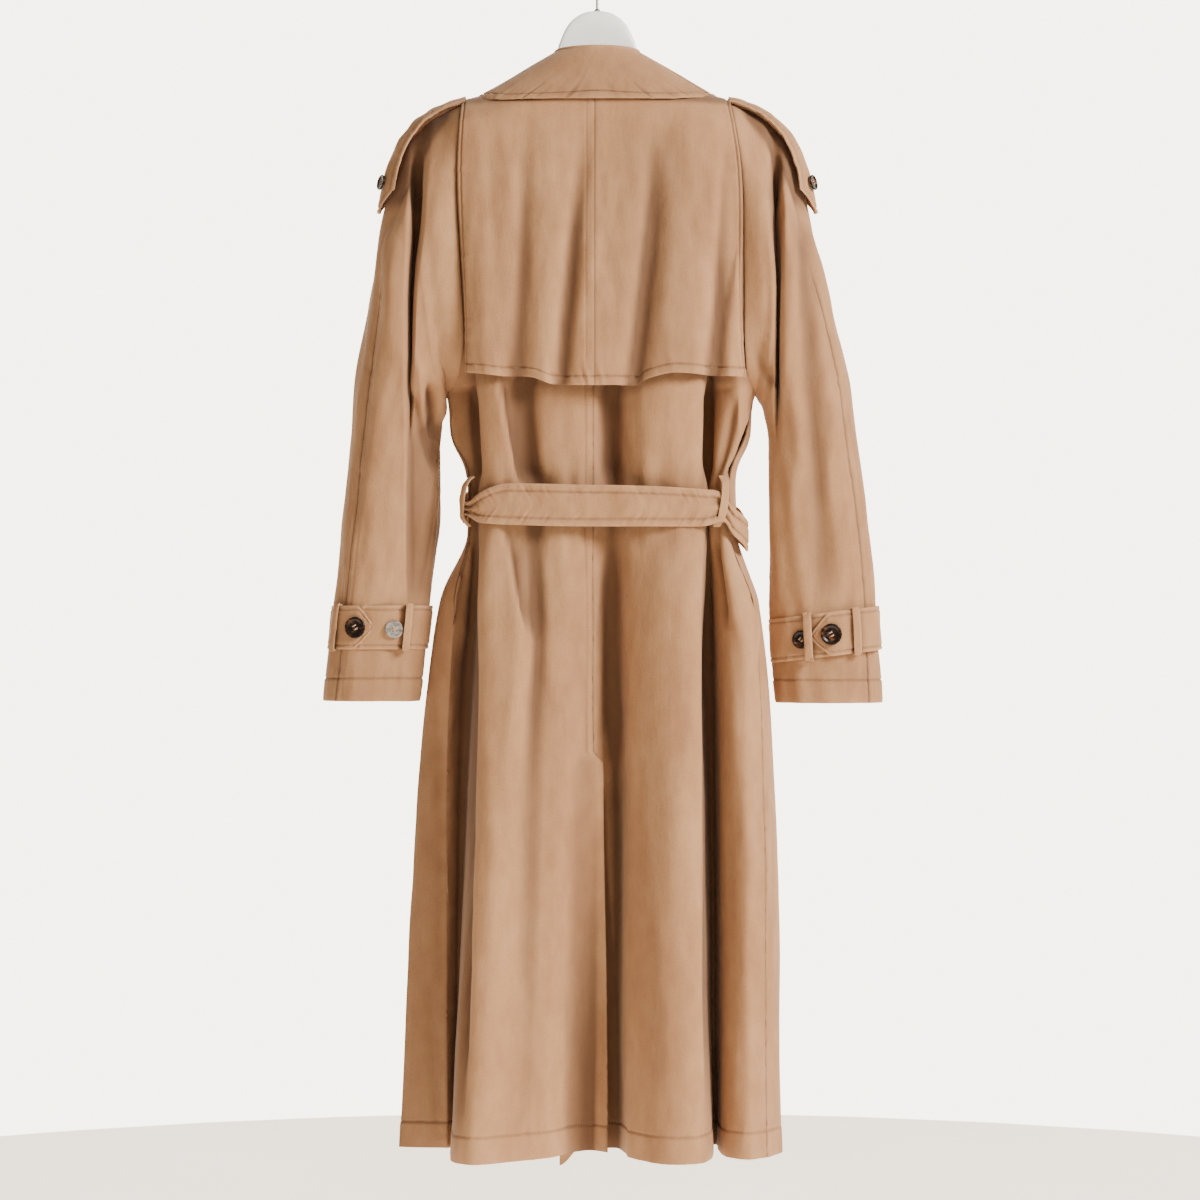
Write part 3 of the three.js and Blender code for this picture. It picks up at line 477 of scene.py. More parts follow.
# ---- finishes
class Nodes:
    """A short way to write a material's node tree."""

    def __init__(self, name: str) -> None:
        """Starts an empty material of that name."""
        self.made = bpy.data.materials.new(name)
        self.made.use_nodes = True
        self.tree = self.made.node_tree
        self.tree.nodes.clear()
        self.shader = self.add("ShaderNodeBsdfPrincipled")
        out = self.add("ShaderNodeOutputMaterial")
        self.tree.links.new(self.shader.outputs[0], out.inputs["Surface"])

    def add(self, kind: str, **settings: object) -> bpy.types.Node:
        """Adds a node and sets its properties."""
        node = self.tree.nodes.new(kind)
        for key, value in settings.items():
            setattr(node, key, value)
        return node

    def feed(self, node: bpy.types.Node, **inputs: object) -> bpy.types.Node:
        """Sets or links a node's inputs by name, with _ for a space."""
        for key, value in inputs.items():
            self.plug(node.inputs[key.replace("_", " ")], value)
        return node

    def plug(self, socket: bpy.types.NodeSocket, value: object) -> None:
        """Links a socket to an output, or sets it to a plain value."""
        if isinstance(value, bpy.types.NodeSocket):
            self.tree.links.new(value, socket)
        else:
            socket.default_value = value

    def math(self, operation: str, *values: object) -> bpy.types.NodeSocket:
        """One arithmetic step."""
        node = self.add("ShaderNodeMath", operation=operation)
        for socket, value in zip(node.inputs, values):
            self.plug(socket, value)
        return node.outputs[0]

    def noise(self, where: object, scale: float, detail: float = 2.0) -> bpy.types.NodeSocket:
        """Smooth noise around 0.5."""
        node = self.feed(self.add("ShaderNodeTexNoise"), Vector=where, Scale=scale, Detail=detail)
        return node.outputs[0]

    def stretched(self, where: object, scale: tuple) -> bpy.types.NodeSocket:
        """The place scaled by different amounts along its axes."""
        node = self.add("ShaderNodeMapping")
        self.plug(node.inputs["Vector"], where)
        node.inputs["Scale"].default_value = scale
        return node.outputs[0]

    def ramp(self, value: object, stops: list[tuple[float, tuple]]) -> bpy.types.NodeSocket:
        """Colour from a value through the given stops."""
        node = self.add("ShaderNodeValToRGB")
        self.plug(node.inputs[0], value)
        ramp = node.color_ramp
        while len(ramp.elements) < len(stops):
            ramp.elements.new(0.5)
        for element, (place, colour) in zip(ramp.elements, stops):
            element.position = place
            element.color = (*colour, 1)
        return node.outputs[0]

    def blend(self, how: str, share: object, a: object, b: object) -> bpy.types.NodeSocket:
        """Mixes two colours."""
        node = self.add("ShaderNodeMix", data_type="RGBA", blend_type=how)
        self.plug(node.inputs[0], share)
        self.plug(node.inputs[6], a)
        self.plug(node.inputs[7], b)
        return node.outputs[2]

    def bumped(
        self, height: object, distance: float, strength: float, normal: object = None
    ) -> bpy.types.NodeSocket:
        """A normal tilted by a height in metres times distance."""
        node = self.add("ShaderNodeBump")
        self.feed(node, Height=height, Distance=distance, Strength=strength)
        if normal is not None:
            self.plug(node.inputs["Normal"], normal)
        return node.outputs[0]


def tone(red: int, green: int, blue: int) -> tuple[float, float, float]:
    """A linear colour from 0-255 display values: ((c + 0.055) / 1.055) to the power 2.4."""

    def linear(c: int) -> float:
        """One channel."""
        v = c / 255
        return v / 12.92 if v <= 0.04045 else ((v + 0.055) / 1.055) ** 2.4

    return linear(red), linear(green), linear(blue)


def dimmed(colour: tuple, share: float) -> tuple:
    """The colour times share."""
    return tuple(c * share for c in colour)


class Finish:
    """A finish whose material is made on first use; its name is a field of the finishes below."""

    name: str

    def material(self) -> bpy.types.Material:
        """The finish's one material."""
        made = bpy.data.materials.get(self.name)
        if made is None:
            n = Nodes(self.name)
            self.dress(n, n.add("ShaderNodeTexCoord").outputs["Object"])
            made = n.made
        return made

    def dress(self, n: Nodes, place: bpy.types.NodeSocket) -> None:
        """Adds the finish's nodes; place is the point on the object."""
        raise NotImplementedError


@dataclass(frozen=True)
class Cloth(Finish):
    """Washed cotton gabardine: a fine steep twill with faint clouds of fading, paler on worn edges, and
    darkened towards a dark tone by painted shade.
    """

    name: str = "gabardine"
    base: tuple = tone(161, 118, 82)
    faded: tuple = tone(174, 132, 94)
    deep: tuple = tone(147, 104, 71)
    rubbed: tuple = tone(188, 147, 109)
    # The dark tone that painted shade mixes towards, in folds, at seams and stitches, and under other pieces.
    shaded: tuple = tone(74, 47, 29)
    twill_mm: float = 0.9
    sheen: float = 0.1
    cloud_scale: tuple = (16, 16, 5)
    mottle_scale: tuple = (70, 70, 34)
    fibre_scale: tuple = (1300, 520, 1)
    crumple_scale: tuple = (210, 210, 90)

    def dress(self, n: Nodes, place: bpy.types.NodeSocket) -> None:
        """Colour from clouds, mottle and fibres, rubbed by wear and darkened by painted shade; bumps of
        crumple and twill.
        """
        uv = n.add("ShaderNodeUVMap", uv_map="weave").outputs[0]
        clouds = n.noise(n.stretched(place, self.cloud_scale), 1.0, 3.0)
        mottle = n.noise(n.stretched(place, self.mottle_scale), 1.0, 4.0)
        fibres = n.noise(n.stretched(uv, self.fibre_scale), 1.0, 2.0)
        worn = n.add("ShaderNodeAttribute", attribute_name="wear").outputs["Fac"]
        level = n.math("ADD", n.math("MULTIPLY", clouds, 0.4), n.math("MULTIPLY", mottle, 0.3))
        level = n.math("ADD", level, n.math("MULTIPLY", fibres, 0.3))
        colour = n.ramp(level, [(0.36, self.deep), (0.5, self.base), (0.64, self.faded)])
        patchy = n.math("MULTIPLY", worn, n.math("MULTIPLY", mottle, 0.9))
        colour = n.blend("MIX", patchy, colour, (*self.rubbed, 1))
        # Painted shade: the hollow attribute darkens the colour towards the shaded tone.
        painted_shade = n.add("ShaderNodeAttribute", attribute_name="hollow").outputs["Fac"]
        colour = n.blend("MIX", n.math("MULTIPLY", painted_shade, 0.8), colour, (*self.shaded, 1))
        twill = n.add("ShaderNodeTexWave", wave_type="BANDS", bands_direction="DIAGONAL")
        n.feed(twill, Vector=uv, Scale=1000 / self.twill_mm / 3.6, Distortion=0.5, Detail=1.0)
        n.feed(n.shader, Base_Color=colour, Sheen_Weight=self.sheen, Sheen_Roughness=0.5)
        n.shader.inputs["Sheen Tint"].default_value = (1.0, 0.93, 0.85, 1)
        n.shader.inputs["Specular IOR Level"].default_value = 0.25
        n.feed(n.shader, Roughness=n.math("ADD", 0.72, n.math("MULTIPLY", mottle, 0.2)))
        crumple = n.noise(n.stretched(place, self.crumple_scale), 1.0, 4.0)
        normal = n.bumped(crumple, 0.0009, 0.5)
        height = n.math("ADD", twill.outputs[1], n.math("MULTIPLY", fibres, 0.8))
        n.feed(n.shader, Normal=n.bumped(height, 0.0001, 0.35, normal))


@dataclass(frozen=True)
class Thread(Finish):
    """Sewing thread, a little lighter and shinier than the cloth."""

    name: str = "thread"
    colour: tuple = tone(178, 141, 110)

    def dress(self, n: Nodes, place: bpy.types.NodeSocket) -> None:
        """A spun colour and bump from one fine noise."""
        spun = n.noise(place, 900.0)
        colour = n.ramp(spun, [(0.3, dimmed(self.colour, 0.8)), (0.7, self.colour)])
        n.feed(n.shader, Base_Color=colour)
        n.feed(n.shader, Roughness=0.55)
        n.feed(n.shader, Normal=n.bumped(spun, 0.0001, 0.6))


@dataclass(frozen=True)
class Horn(Finish):
    """Polished horn: brown clouds from dark to amber under a clear gloss."""

    name: str = "polished_horn"
    dark: tuple = tone(12, 6, 3)
    mid: tuple = tone(32, 15, 7)
    light: tuple = tone(96, 52, 22)

    def dress(self, n: Nodes, place: bpy.types.NodeSocket) -> None:
        """Clouded colour and gloss from one stretched noise."""
        swirl = n.noise(n.stretched(place, (150, 150, 320)), 1.0, 3.0)
        colour = n.ramp(swirl, [(0.4, self.dark), (0.56, self.mid), (0.72, self.light)])
        n.feed(n.shader, Base_Color=colour)
        n.feed(n.shader, Roughness=n.math("ADD", 0.2, n.math("MULTIPLY", swirl, 0.14)))
        n.shader.inputs["Specular IOR Level"].default_value = 0.25


@dataclass(frozen=True)
class Lacquer(Finish):
    """Satin white paint over a smooth core, with faint unevenness."""

    name: str = "satin_lacquer"
    colour: tuple = tone(253, 253, 251)

    def dress(self, n: Nodes, place: bpy.types.NodeSocket) -> None:
        """Paint whose colour, gloss and bump are slightly uneven."""
        uneven = n.noise(place, 60.0, 3.0)
        n.feed(n.shader, Base_Color=n.ramp(uneven, [(0.3, tone(248, 247, 243)), (0.6, self.colour)]))
        n.feed(n.shader, Roughness=n.math("ADD", 0.24, n.math("MULTIPLY", uneven, 0.16)))
        n.feed(n.shader, Normal=n.bumped(uneven, 0.0004, 0.4))


@dataclass(frozen=True)
class Wire(Finish):
    """Dull steel wire, drawn lengthwise."""

    name: str = "plated_wire"
    colour: tuple = (0.3, 0.3, 0.29)

    def dress(self, n: Nodes, place: bpy.types.NodeSocket) -> None:
        """Grey metal with a fine grain."""
        grain = n.noise(place, 700.0, 2.0)
        colour = n.ramp(grain, [(0.3, dimmed(self.colour, 0.7)), (0.7, self.colour)])
        n.feed(n.shader, Base_Color=colour)
        n.feed(n.shader, Metallic=1.0, Roughness=n.math("ADD", 0.28, n.math("MULTIPLY", grain, 0.2)))


GABARDINE = Cloth()
HORN = Horn()
SHELL = Horn("turned_shell", tone(110, 103, 96), tone(140, 132, 124), tone(172, 163, 154))
THREAD = Thread()
LACQUER = Lacquer()
STEEL = Wire()


def settle(made: bpy.types.Object, nodes: tuple = ()) -> bpy.types.Object:
    """Says what a piece rides on and the nodes it stands for, and logs it."""
    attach(made, "root")
    if nodes:
        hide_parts(*nodes)
    LOG.info("%s: %d faces", made.name, len(made.data.polygons))
    return made


def add_sheet(
    name: str,
    grid: Grid,
    thickness: float = CLOTH,
    wear: Array | None = None,
    hollow: Array | None = None,
) -> None:
    """Sews a sheet that stands for the node of its name, hides that node and hangs the sheet on the root."""
    made = sew_sheet(name, grid, thickness, wear, hollow)
    settle(made, (name,))


def add_loop(name: str, grid: Grid, crumple: float, ripple: Ripple) -> Grid:
    """Adds a narrow loop with its sides pressed down and rubbed, and returns its outer face."""
    side = grid.from_sides()
    face = grid.raised(-0.8 * np.exp(-side) + crumple * ripple(grid.points))
    add_sheet(name, face, wear=np.exp(-side / 1.5))
    return face


# ---- topstitching
@dataclass
class Stitching:
    """All the rows of thread, gathered and made as one mesh."""

    pitch: float = 3.3
    length: float = 2.3
    width: float = 0.42
    rise: float = 0.28
    sunk: float = 0.15
    starts: list = field(default_factory=list)
    ends: list = field(default_factory=list)
    ups: list = field(default_factory=list)

    def sew(self, path: Array, normals: Array) -> None:
        """Adds a row of stitches along a path that lies on the cloth.

        Args:
            path: points along the row.
            normals: the cloth's normal at each point.
        """
        steps = np.linalg.norm(np.diff(path, axis=0), axis=1)
        run = np.concatenate([[0], np.cumsum(steps)])
        begin = np.arange(1.0, run[-1] - self.length, self.pitch)
        if not len(begin):
            return
        along = lambda at: np.stack([np.interp(at, run, path[:, k]) for k in range(3)], axis=1)
        self.starts.append(along(begin))
        self.ends.append(along(begin + self.length))
        self.ups.append(np.stack([np.interp(begin, run, normals[:, k]) for k in range(3)], axis=1))

    def sew_column(
        self, grid: Grid, inset: float, normals: Array, first: int = 0, last: int | None = None
    ) -> None:
        """Adds a row of stitches down the grid, a set distance in from its first (over 0) or last column."""
        run = grid.across_mm()
        place = np.full(len(run), inset) if inset > 0 else run[:, -1] + inset

        def read(values: Array) -> Array:
            """The values at that place in the rows from first to last."""
            rows = zip(place, run, values)
            read_rows = [[np.interp(p, r, row[:, k]) for k in range(3)] for p, r, row in rows]
            return np.stack(read_rows)[first:last]

        self.sew(read(grid.points), read(normals))

    def sew_row(self, grid: Grid, inset: float, normals: Array) -> None:
        """Adds a row of stitches across the grid, a set distance in from its top (over 0) or bottom row."""
        turned = Grid(grid.points.transpose(1, 0, 2))
        self.sew_column(turned, inset, normals.transpose(1, 0, 2))

    def make(self) -> None:
        """Every stitch is a spindle: two tips and a square waist half sunk in the cloth."""
        a, b, up = (np.concatenate(x) for x in (self.starts, self.ends, self.ups))
        up = up / np.linalg.norm(up, axis=1, keepdims=True)
        run = b - a
        side = np.cross(run, up)
        side /= np.maximum(np.linalg.norm(side, axis=1, keepdims=True), 1e-9)
        mid = (a + b) / 2
        half = self.width / 2
        waist = [mid + side * half, mid + up * self.rise, mid - side * half, mid - up * half]
        points = np.stack([a - up * self.sunk, *waist, b - up * self.sunk], axis=1)
        cell = [[0, 2, 1], [0, 3, 2], [0, 4, 3], [0, 1, 4], [5, 1, 2], [5, 2, 3], [5, 3, 4], [5, 4, 1]]
        faces = (np.array(cell) + 6 * np.arange(len(points))[:, None, None]).reshape(-1, 3)
        made = make_object("topstitching", points.reshape(-1, 3), faces)
        made.data.materials.append(THREAD.material())
        settle(made)


STITCHES = Stitching()


# ---- torso and skirt
@dataclass(frozen=True)
class FoldLine:
    """One ridge, hollow or seam that runs down the coat: its x on the shoulder, and x and y at the levels."""

    name: str
    top: float
    x: tuple
    y: tuple


def fold(name: str, top: float, x: tuple, y: tuple) -> FoldLine:
    """A fold line whose waist value holds over the height of the belt."""
    return FoldLine(name, top, (x[0], x[1], *x[1:]), (y[0], y[1], *y[1:]))


SIDE_RIGHT = fold("side seam", SHOULDER_X, (171, 141, 168, 178, 180), (-6, -16, -30, -44, -48))
SIDE_LEFT = fold("side seam", -SHOULDER_X, (-163, -139, -152, -162, -162), (-4, -14, -16, 0, 8))
CENTRE = fold("centre seam", -4, (-4, -4, -4, -4, -2), (-47, -37, -30, -24, -16))
FRONT_RIGHT = (
    fold("over edge", NECK_X, (-38, -36, -38, -40, -42), (56, 54, 69, 81, 87)),
    fold("inner front crest", 90, (30, 28, 40, 44, 46), (58, 56, 71, 84, 90)),
    fold("front trough", 106, (72, 66, 88, 98, 104), (50, 44, 50, 54, 56)),
    fold("front crest", 122, (108, 100, 124, 138, 146), (54, 50, 64, 76, 84)),
    fold("turn to the front", 136, (150, 134, 160, 176, 184), (36, 34, 34, 30, 32)),
    fold("right side", 143, (169, 149, 177, 193, 201), (12, 4, 0, -8, -14)),
    SIDE_RIGHT,
)
BACK_RIGHT = (
    SIDE_RIGHT,
    fold("crest of the side lobe", 138, (154, 136, 152, 157, 160), (-34, -28, -46, -56, -60)),
    fold("edge of the side lobe", 128, (134, 127, 134, 136, 139), (-20, -22, -34, -36, -42)),
    fold("hollow behind the right crease", 116, (120, 119, 121, 125, 128), (-2, -14, 0, 16, 28)),
    fold("right crease", 96, (111, 111, 111, 111, 112), (-50, -43, -58, -70, -78)),
    fold("right crest", 64, (75, 71, 83, 79, 75), (-60, -50, -67, -76, -88)),
    fold("rise", 40, (41, 39, 41, 39, 37), (-47, -39, -45, -46, -52)),
    fold("hollow beside the seam", 16, (15, 14, 12, 19, 22), (-27, -22, -14, -4, 0)),
    CENTRE,
)
BACK_LEFT = (
    CENTRE,
    fold("dip beside the seam", -20, (-22, -20, -13, -12, -12), (-52, -43, -38, -28, -4)),
    fold("inner crest", -40, (-50, -43, -34, -39, -55), (-55, -46, -52, -56, -52)),
    fold("left trough", -62, (-77, -67, -62, -70, -77), (-40, -36, -46, -62, -66)),
    fold("left crest", -84, (-97, -92, -82, -104, -130), (-58, -46, -62, -76, -90)),
    fold("left crease", -106, (-126, -122, -124, -131, -153), (-44, -36, -48, -60, -70)),
    fold("hollow behind the left crease", -126, (-135, -131, -136, -146, -155), (-6, -14, 4, 16, 26)),
    SIDE_LEFT,
)
FRONT_LEFT = (
    SIDE_LEFT,
    fold("left side", -144, (-160, -141, -171, -195, -215), (10, 6, 8, 12, 14)),
    fold("turn to the front", -136, (-146, -128, -156, -178, -192), (32, 30, 40, 48, 54)),
    fold("front crest", -120, (-106, -98, -122, -136, -146), (50, 46, 64, 74, 84)),
    fold("front trough", -104, (-68, -62, -82, -94, -100), (46, 40, 44, 50, 52)),
    fold("inner front crest", -88, (-30, -28, -40, -44, -46), (50, 46, 60, 72, 78)),
    fold("under edge", -NECK_X, (40, 38, 40, 42, 44), (44, 41, 54, 62, 66)),
)
ARMHOLE_SHARES = (1, 0.75, 0.45, 0.15, 0)
ARMHOLE = {Side.LEFT: (-146, -150, -146, -142, -142), Side.RIGHT: (143, 154, 156, 157, 159)}


def ridge_z(x: Array) -> Array:
    """Height of the shoulder ridge: it falls evenly from the middle."""
    return RIDGE_Z - RIDGE_SLOPE * np.abs(x)


def top_z(x: Array) -> Array:
    """Height of a panel's top edge: the ridge, or the neck opening where that is lower."""
    return np.minimum(NECK_Z, ridge_z(x))


def torso_depth(x: Array, z: Array) -> Array:
    """How far the torso stands from the ridge plane: a round shoulder, then flat, thinner at the arms."""
    arch = np.sqrt(np.maximum(1 - (1 - np.clip((ridge_z(x) - z) / SHOULDER_ROUND, 0, 1)) ** 2, 0))
    return TORSO_DEPTH * (1 - 0.1 * (x / SHOULDER_X) ** 4) * arch


def underarm(share: Array) -> Array:
    """0 at the underarm and 1 above it, round like the lowest part of an armhole."""
    return np.sqrt(np.maximum(1 - (1 - np.clip(share * 5, 0, 1)) ** 2, 0))


def torso_line(line: FoldLine, share: Array, face: Face, rank: int) -> tuple[Array, Array, Array]:
    """One fold line in the torso.

    Args:
        line: the fold line.
        share: shares of the way up from the underarm to the line's top.
        face: back or front.
        rank: how many lines it lies from the armhole seam.

    Returns:
        x, y and z: x and y blend from the line's place at the chest to the flat torso above.
    """
    z = mix(CHEST_Z, top_z(line.top), share)
    side = Side.LEFT if line.top < 0 else Side.RIGHT
    sign = side.value
    seam = track(ARMHOLE_SHARES, ARMHOLE[side], share)
    inside = mix(line.x[0], sign * np.maximum(sign * seam - 9 * rank, 20), underarm(share))
    x = mix(line.x[0], line.top, ease(share))
    x = inside if rank == 0 else np.where(sign * x > sign * inside, inside, x)
    closing = mix(underarm(share), ease(share / 0.45), float(ease(rank / 4)))
    if line.name.endswith("edge") and face is Face.FRONT:
        x = mix(line.x[0], line.top, np.clip((share - 0.38) / 0.6, 0, 1))
    over = 5 * ease((60 - x) / 40) if face is Face.FRONT and line.top > 0 else 0
    return x, mix(line.y[0], face.value * (torso_depth(x, z) + over), closing), z


@dataclass
class Panel:
    """One cut piece of the coat's body, from the shoulder or neck down to the hem."""

    name: str
    lines: tuple
    face: Face
    slide: tuple = (0.0, 0.0)
    cells: int = 11
    torso_rows: int = 66
    skirt_rows: int = 190
    droop: float = 0.0
    full: float = 9.0

    def vented(self, points: Array) -> Array:
        """Moves the cloth beside the centre seam below the vent's top: aside by slide[0], out by slide[1]."""
        if CENTRE not in self.lines:
            return points
        edge = points[:, :1] if self.lines[0] is CENTRE else points[:, -1:]
        away = np.linalg.norm((points - edge)[..., :2], axis=2)
        z = points[..., 2]
        moved = points.copy()
        top = VENT_Z + 6 * np.sign(self.slide[0])
        moved[..., 0] += self.slide[0] * ease((top - z) / 12) * bump(away / 16)
        moved[..., 1] += self.slide[1] * ease((VENT_Z + 4 - z) / 40) * bump(away / 34)
        return moved

    def base(self) -> Grid:
        """The panel's surface before its small folds: curves through the fold lines at each height."""
        count = len(self.lines) - 1
        seam = next(i for i, line in enumerate(self.lines) if line.name == "side seam")
        s = np.linspace(0, 1, count * self.cells + 1)
        u = count * (s - 0.6 * np.sin(math.tau * s) / math.tau)
        shoulder = [1, 0.998, 0.994, 0.988, 0.98, 0.97, 0.96, 0.948, 0.936]
        share = np.concatenate([shoulder, np.linspace(0.924, 0.012, self.torso_rows - len(shoulder))])
        columns = [torso_line(line, share, self.face, abs(i - seam)) for i, line in enumerate(self.lines)]
        lx, ly, lz = (np.stack([c[k] for c in columns], axis=1) for k in range(3))
        x, y = across(lx, ly, u)
        z = across(lx, lz, u)[1]
        on_top = np.abs(x[0]) > NECK_X - 1
        y[0] = np.where(on_top, self.face.value * 0.5, y[0])
        torso = np.stack([x, y, z], axis=2)
        turn_up = HEM_Z + 46
        heights = np.linspace(CHEST_Z, turn_up, self.skirt_rows)
        heights = np.concatenate([heights, np.linspace(turn_up, HEM_Z, 38)[1:]])
        kx = np.stack([track(LEVELS, line.x, heights) for line in self.lines], axis=1)
        ky = np.stack([track(LEVELS, line.y, heights) for line in self.lines], axis=1)
        x, y = across(kx, ky, u)
        z = np.broadcast_to(heights[:, None], x.shape).copy()
        x = x + self.full * np.sign(x) * bump((z - WAIST_Z - 72) / 27) * ease((np.abs(x) - 126) / 20)
        z -= self.droop * bump((x + 44) / 24) * ease((KNEE_Z - z) / (KNEE_Z - HEM_Z))
        return Grid(self.vented(np.concatenate([torso, np.stack([x, y, z], axis=2)])))


BACK_CREASES = [
    Crease(-134, -466, -127, -572, 3.5, -10),
    Crease(-103, -458, -79, -576, 2.6, -10, 0, 0.2, 17),
    Crease(-62, -466, -56, -574, 9, 4),
    Crease(-38, -470, -30, -574, 10, -1.5),
    Crease(14, -460, 15, -578, 12, -6),
    Crease(48, -470, 52, -575, 12, 3),
    Crease(119, -462, 119, -578, 4.5, -9),
    Crease(136, -572, 172, -492, 4, -6, 3),
    Crease(141, -574, 180, -505, 5, 5, 3),
    Crease(128, -570, 148, -478, 4, -5, 2),
    Crease(-99, -612, -70, -740, 2.6, -9, 0, 0.35, 15),
    Crease(-116, -618, -108, -800, 9, 3),
    Crease(-60, -620, -48, -800, 12, 3),
    Crease(15, -618, 15, -880, 12, -6),
    Crease(119, -618, 119, -1270, 4.5, -8),
    Crease(-129, -618, -142, -1270, 3.6, -9),
    Crease(134, -622, 152, -740, 6, 6),
    Crease(128, -625, 138, -730, 3.6, -8),
    Crease(143, -626, 172, -716, 3.6, -7),
    Crease(152, -640, 178, -760, 7, 5),
    Crease(-135, -625, -150, -760, 5, 4),
    Crease(-140, -620, -158, -720, 4, -5),
    Crease(-60, -900, -72, -1270, 22, -1.2),
    Crease(60, -760, 62, -1270, 20, -2),
]
SIDE_SHADE = Crease(-139, -600, -153, -1290, 11, 0.8, 0, 0.1)


@dataclass
class Body:
    """The four panels of the body, sewn at the sides and the middle of the back."""

    wide_ripple: Ripple = Ripple(11, 70, 420)
    small_ripple: Ripple = Ripple(12, 24, 130)

    def height(self, points: Array, face: Face) -> Array:
        """Small folds over the whole body: random ripples, gathers at the belt and laid creases."""
        z = points[..., 2]
        total = 0.9 * self.wide_ripple(points) + 0.35 * self.small_ripple(points)
        near = bump((z - WAIST_Z) / 46)
        total += near * 1.1 * Ripple(13, 17, 260)(points)
        if face is Face.BACK:
            total += laid(points, BACK_CREASES)
        hem_run = points[..., 0] - 0.6 * points[..., 1]
        above_row = z - (HEM_Z + HEM_ROW)
        total += pucker(hem_run, above_row, 13, 12, 1.1, 21)
        total += stitched(above_row, 0.9) + 0.6 * ease(-above_row / 3)
        return total * ease((RIDGE_Z - 60 - z) / 60)

    def shade(self, panel: Panel, grid: Grid, sewn: tuple[bool, bool]) -> Array:
        """How much painted shade darkens the cloth at each point.

        Args:
            panel: the panel.
            grid: its surface before its small folds.
            sewn: whether its first and its last column are sewn to a neighbour.

        Returns:
            Sums of bells and steps of painted shade: hollows, rows of stitches, seams, the vent, and painted
                shadow under flap and belt.
        """
        p, run = grid.points, grid.across_mm()
        x, z = p[..., 0], p[..., 2]
        left, right = run, run[:, -1:] - run
        # Painted shade in the panel's hollows, along the hem's row of stitches, and at its sewn seams.
        painted_shade = grid.hollow(18) + 0.4 * bump((z - HEM_Z - HEM_ROW) / 1.3)
        painted_shade = painted_shade + 0.7 * np.exp(-left / 1.2) * sewn[0] + 0.7 * np.exp(-right / 1.2) * sewn[1]
        # Painted shadow in the vent's opening, beside the edge where the right back runs in under the left.
        if panel.name == "back_right":
            tucked_in = 36 * ease((VENT_Z + 10 - z) / 60)
            opening = 2 + 16 * np.clip((VENT_Z - 45 - z) / 340, 0, 1)
            below_vent = ease((VENT_Z + 10 - z) / 40)
            painted_shade = painted_shade + 0.95 * ease((tucked_in + opening - right) / 6 + 0.5) * below_vent
        # Painted shade along the centre seam's row of stitches above the vent.
        if panel.name == "back_left":
            painted_shade = painted_shade + 0.3 * bump((left - SEAM_ROW) / 1.1) * ease((z - VENT_Z) / 6)
        # Painted shade down the left front's side strip below the hip.
        if panel.name == "front_left":
            painted_shade = painted_shade + 0.4 * ease((-160 - x) / 14) * ease((-720 - z) / 160)
        # On the back: painted shade that follows the laid creases, down the left side and over the middle of
        # the skirt, and painted shadow under the flap's edge and round the belt.
        if panel.face is Face.BACK:
            middle = 0.15 * bump((x + 32) / 30) * ease((-640 - z) / 40) * ease((z + 900) / 80)
            edge_z = track(StormFlap.edge_x, StormFlap.edge_z, x)
            shadow_under = 0.5 * ease((z - edge_z + 13) / 12) + 0.7 * bump((z - WAIST_Z) / 28)
            painted_shade = painted_shade - laid(p, BACK_CREASES) / 9.5 + shadow_under + middle + SIDE_SHADE(p)
        return painted_shade

    def make(self) -> None:
        """Builds the four panels, with their seams' grooves, puckers and stitches."""
        panels = (
            Panel("front_right", FRONT_RIGHT, Face.FRONT, droop=34),
            Panel("back_right", BACK_RIGHT, Face.BACK, slide=(-24, 12)),
            Panel("back_left", BACK_LEFT, Face.BACK, slide=(12, -4)),
            Panel("front_left", FRONT_LEFT, Face.FRONT),
        )
        base = [panel.base() for panel in panels]
        chest = panels[0].torso_rows
        below_chest = base[0].points[:, 0, 2][:, None, None] <= CHEST_Z
        whole = base[1].points[:, 0, 2][:, None, None] > VENT_Z
        for i, panel in enumerate(panels):
            grid = base[i]
            ends = [grid.points[:, :1], grid.points[:, -1:]]
            before, after = ends
            if i > 0:
                joined = whole if i == 2 else below_chest
                before = np.where(joined, base[i - 1].points[:, -2:-1], ends[0])
            if i < 3:
                joined = whole if i == 1 else below_chest
                after = np.where(joined, base[i + 1].points[:, 1:2], ends[1])
            normals = grid.normals(before, after)
            run = grid.across_mm()
            left, right = run, run[:, -1:] - run
            z = grid.points[..., 2]
            height = self.height(grid.points, panel.face)
            for n, (away, sewn) in enumerate(((left, i > 0), (right, i < 3))):
                if not sewn:
                    continue
                height -= 1.1 * np.exp(-away / 2.2)
                height += pucker(-z, away, 15, 9, 0.45, 31 + 2 * i + n)
            if panel.name == "back_left":
                height += stitched(left - SEAM_ROW) * ease((z - VENT_Z) / 6)
            raised = grid.raised(height, normals)
            wear = 0.5 * np.exp(-np.minimum(left, right) / 3.0) + 0.4 * np.exp((HEM_Z - z) / 4.0)
            # Painted shade for the panel, from shade().
            painted_shade = self.shade(panel, grid, (i > 0, i < 3))
            add_sheet(panel.name, raised, CLOTH, wear, painted_shade)
            out = raised.normals()
            STITCHES.sew_row(raised, -HEM_ROW, out)
            if panel.name == "back_left":
                vent = int(np.argmax(raised.points[:, 0, 2] < VENT_Z))
                STITCHES.sew_column(raised, SEAM_ROW, out, chest - 6, vent)


# ---- storm flap
@dataclass(frozen=True)
class FlapFold:
    """A hollow that runs down the flap: its x at the top and at the edge, its width and its depth."""

    top: float
    bottom: float
    width: float
    depth: float


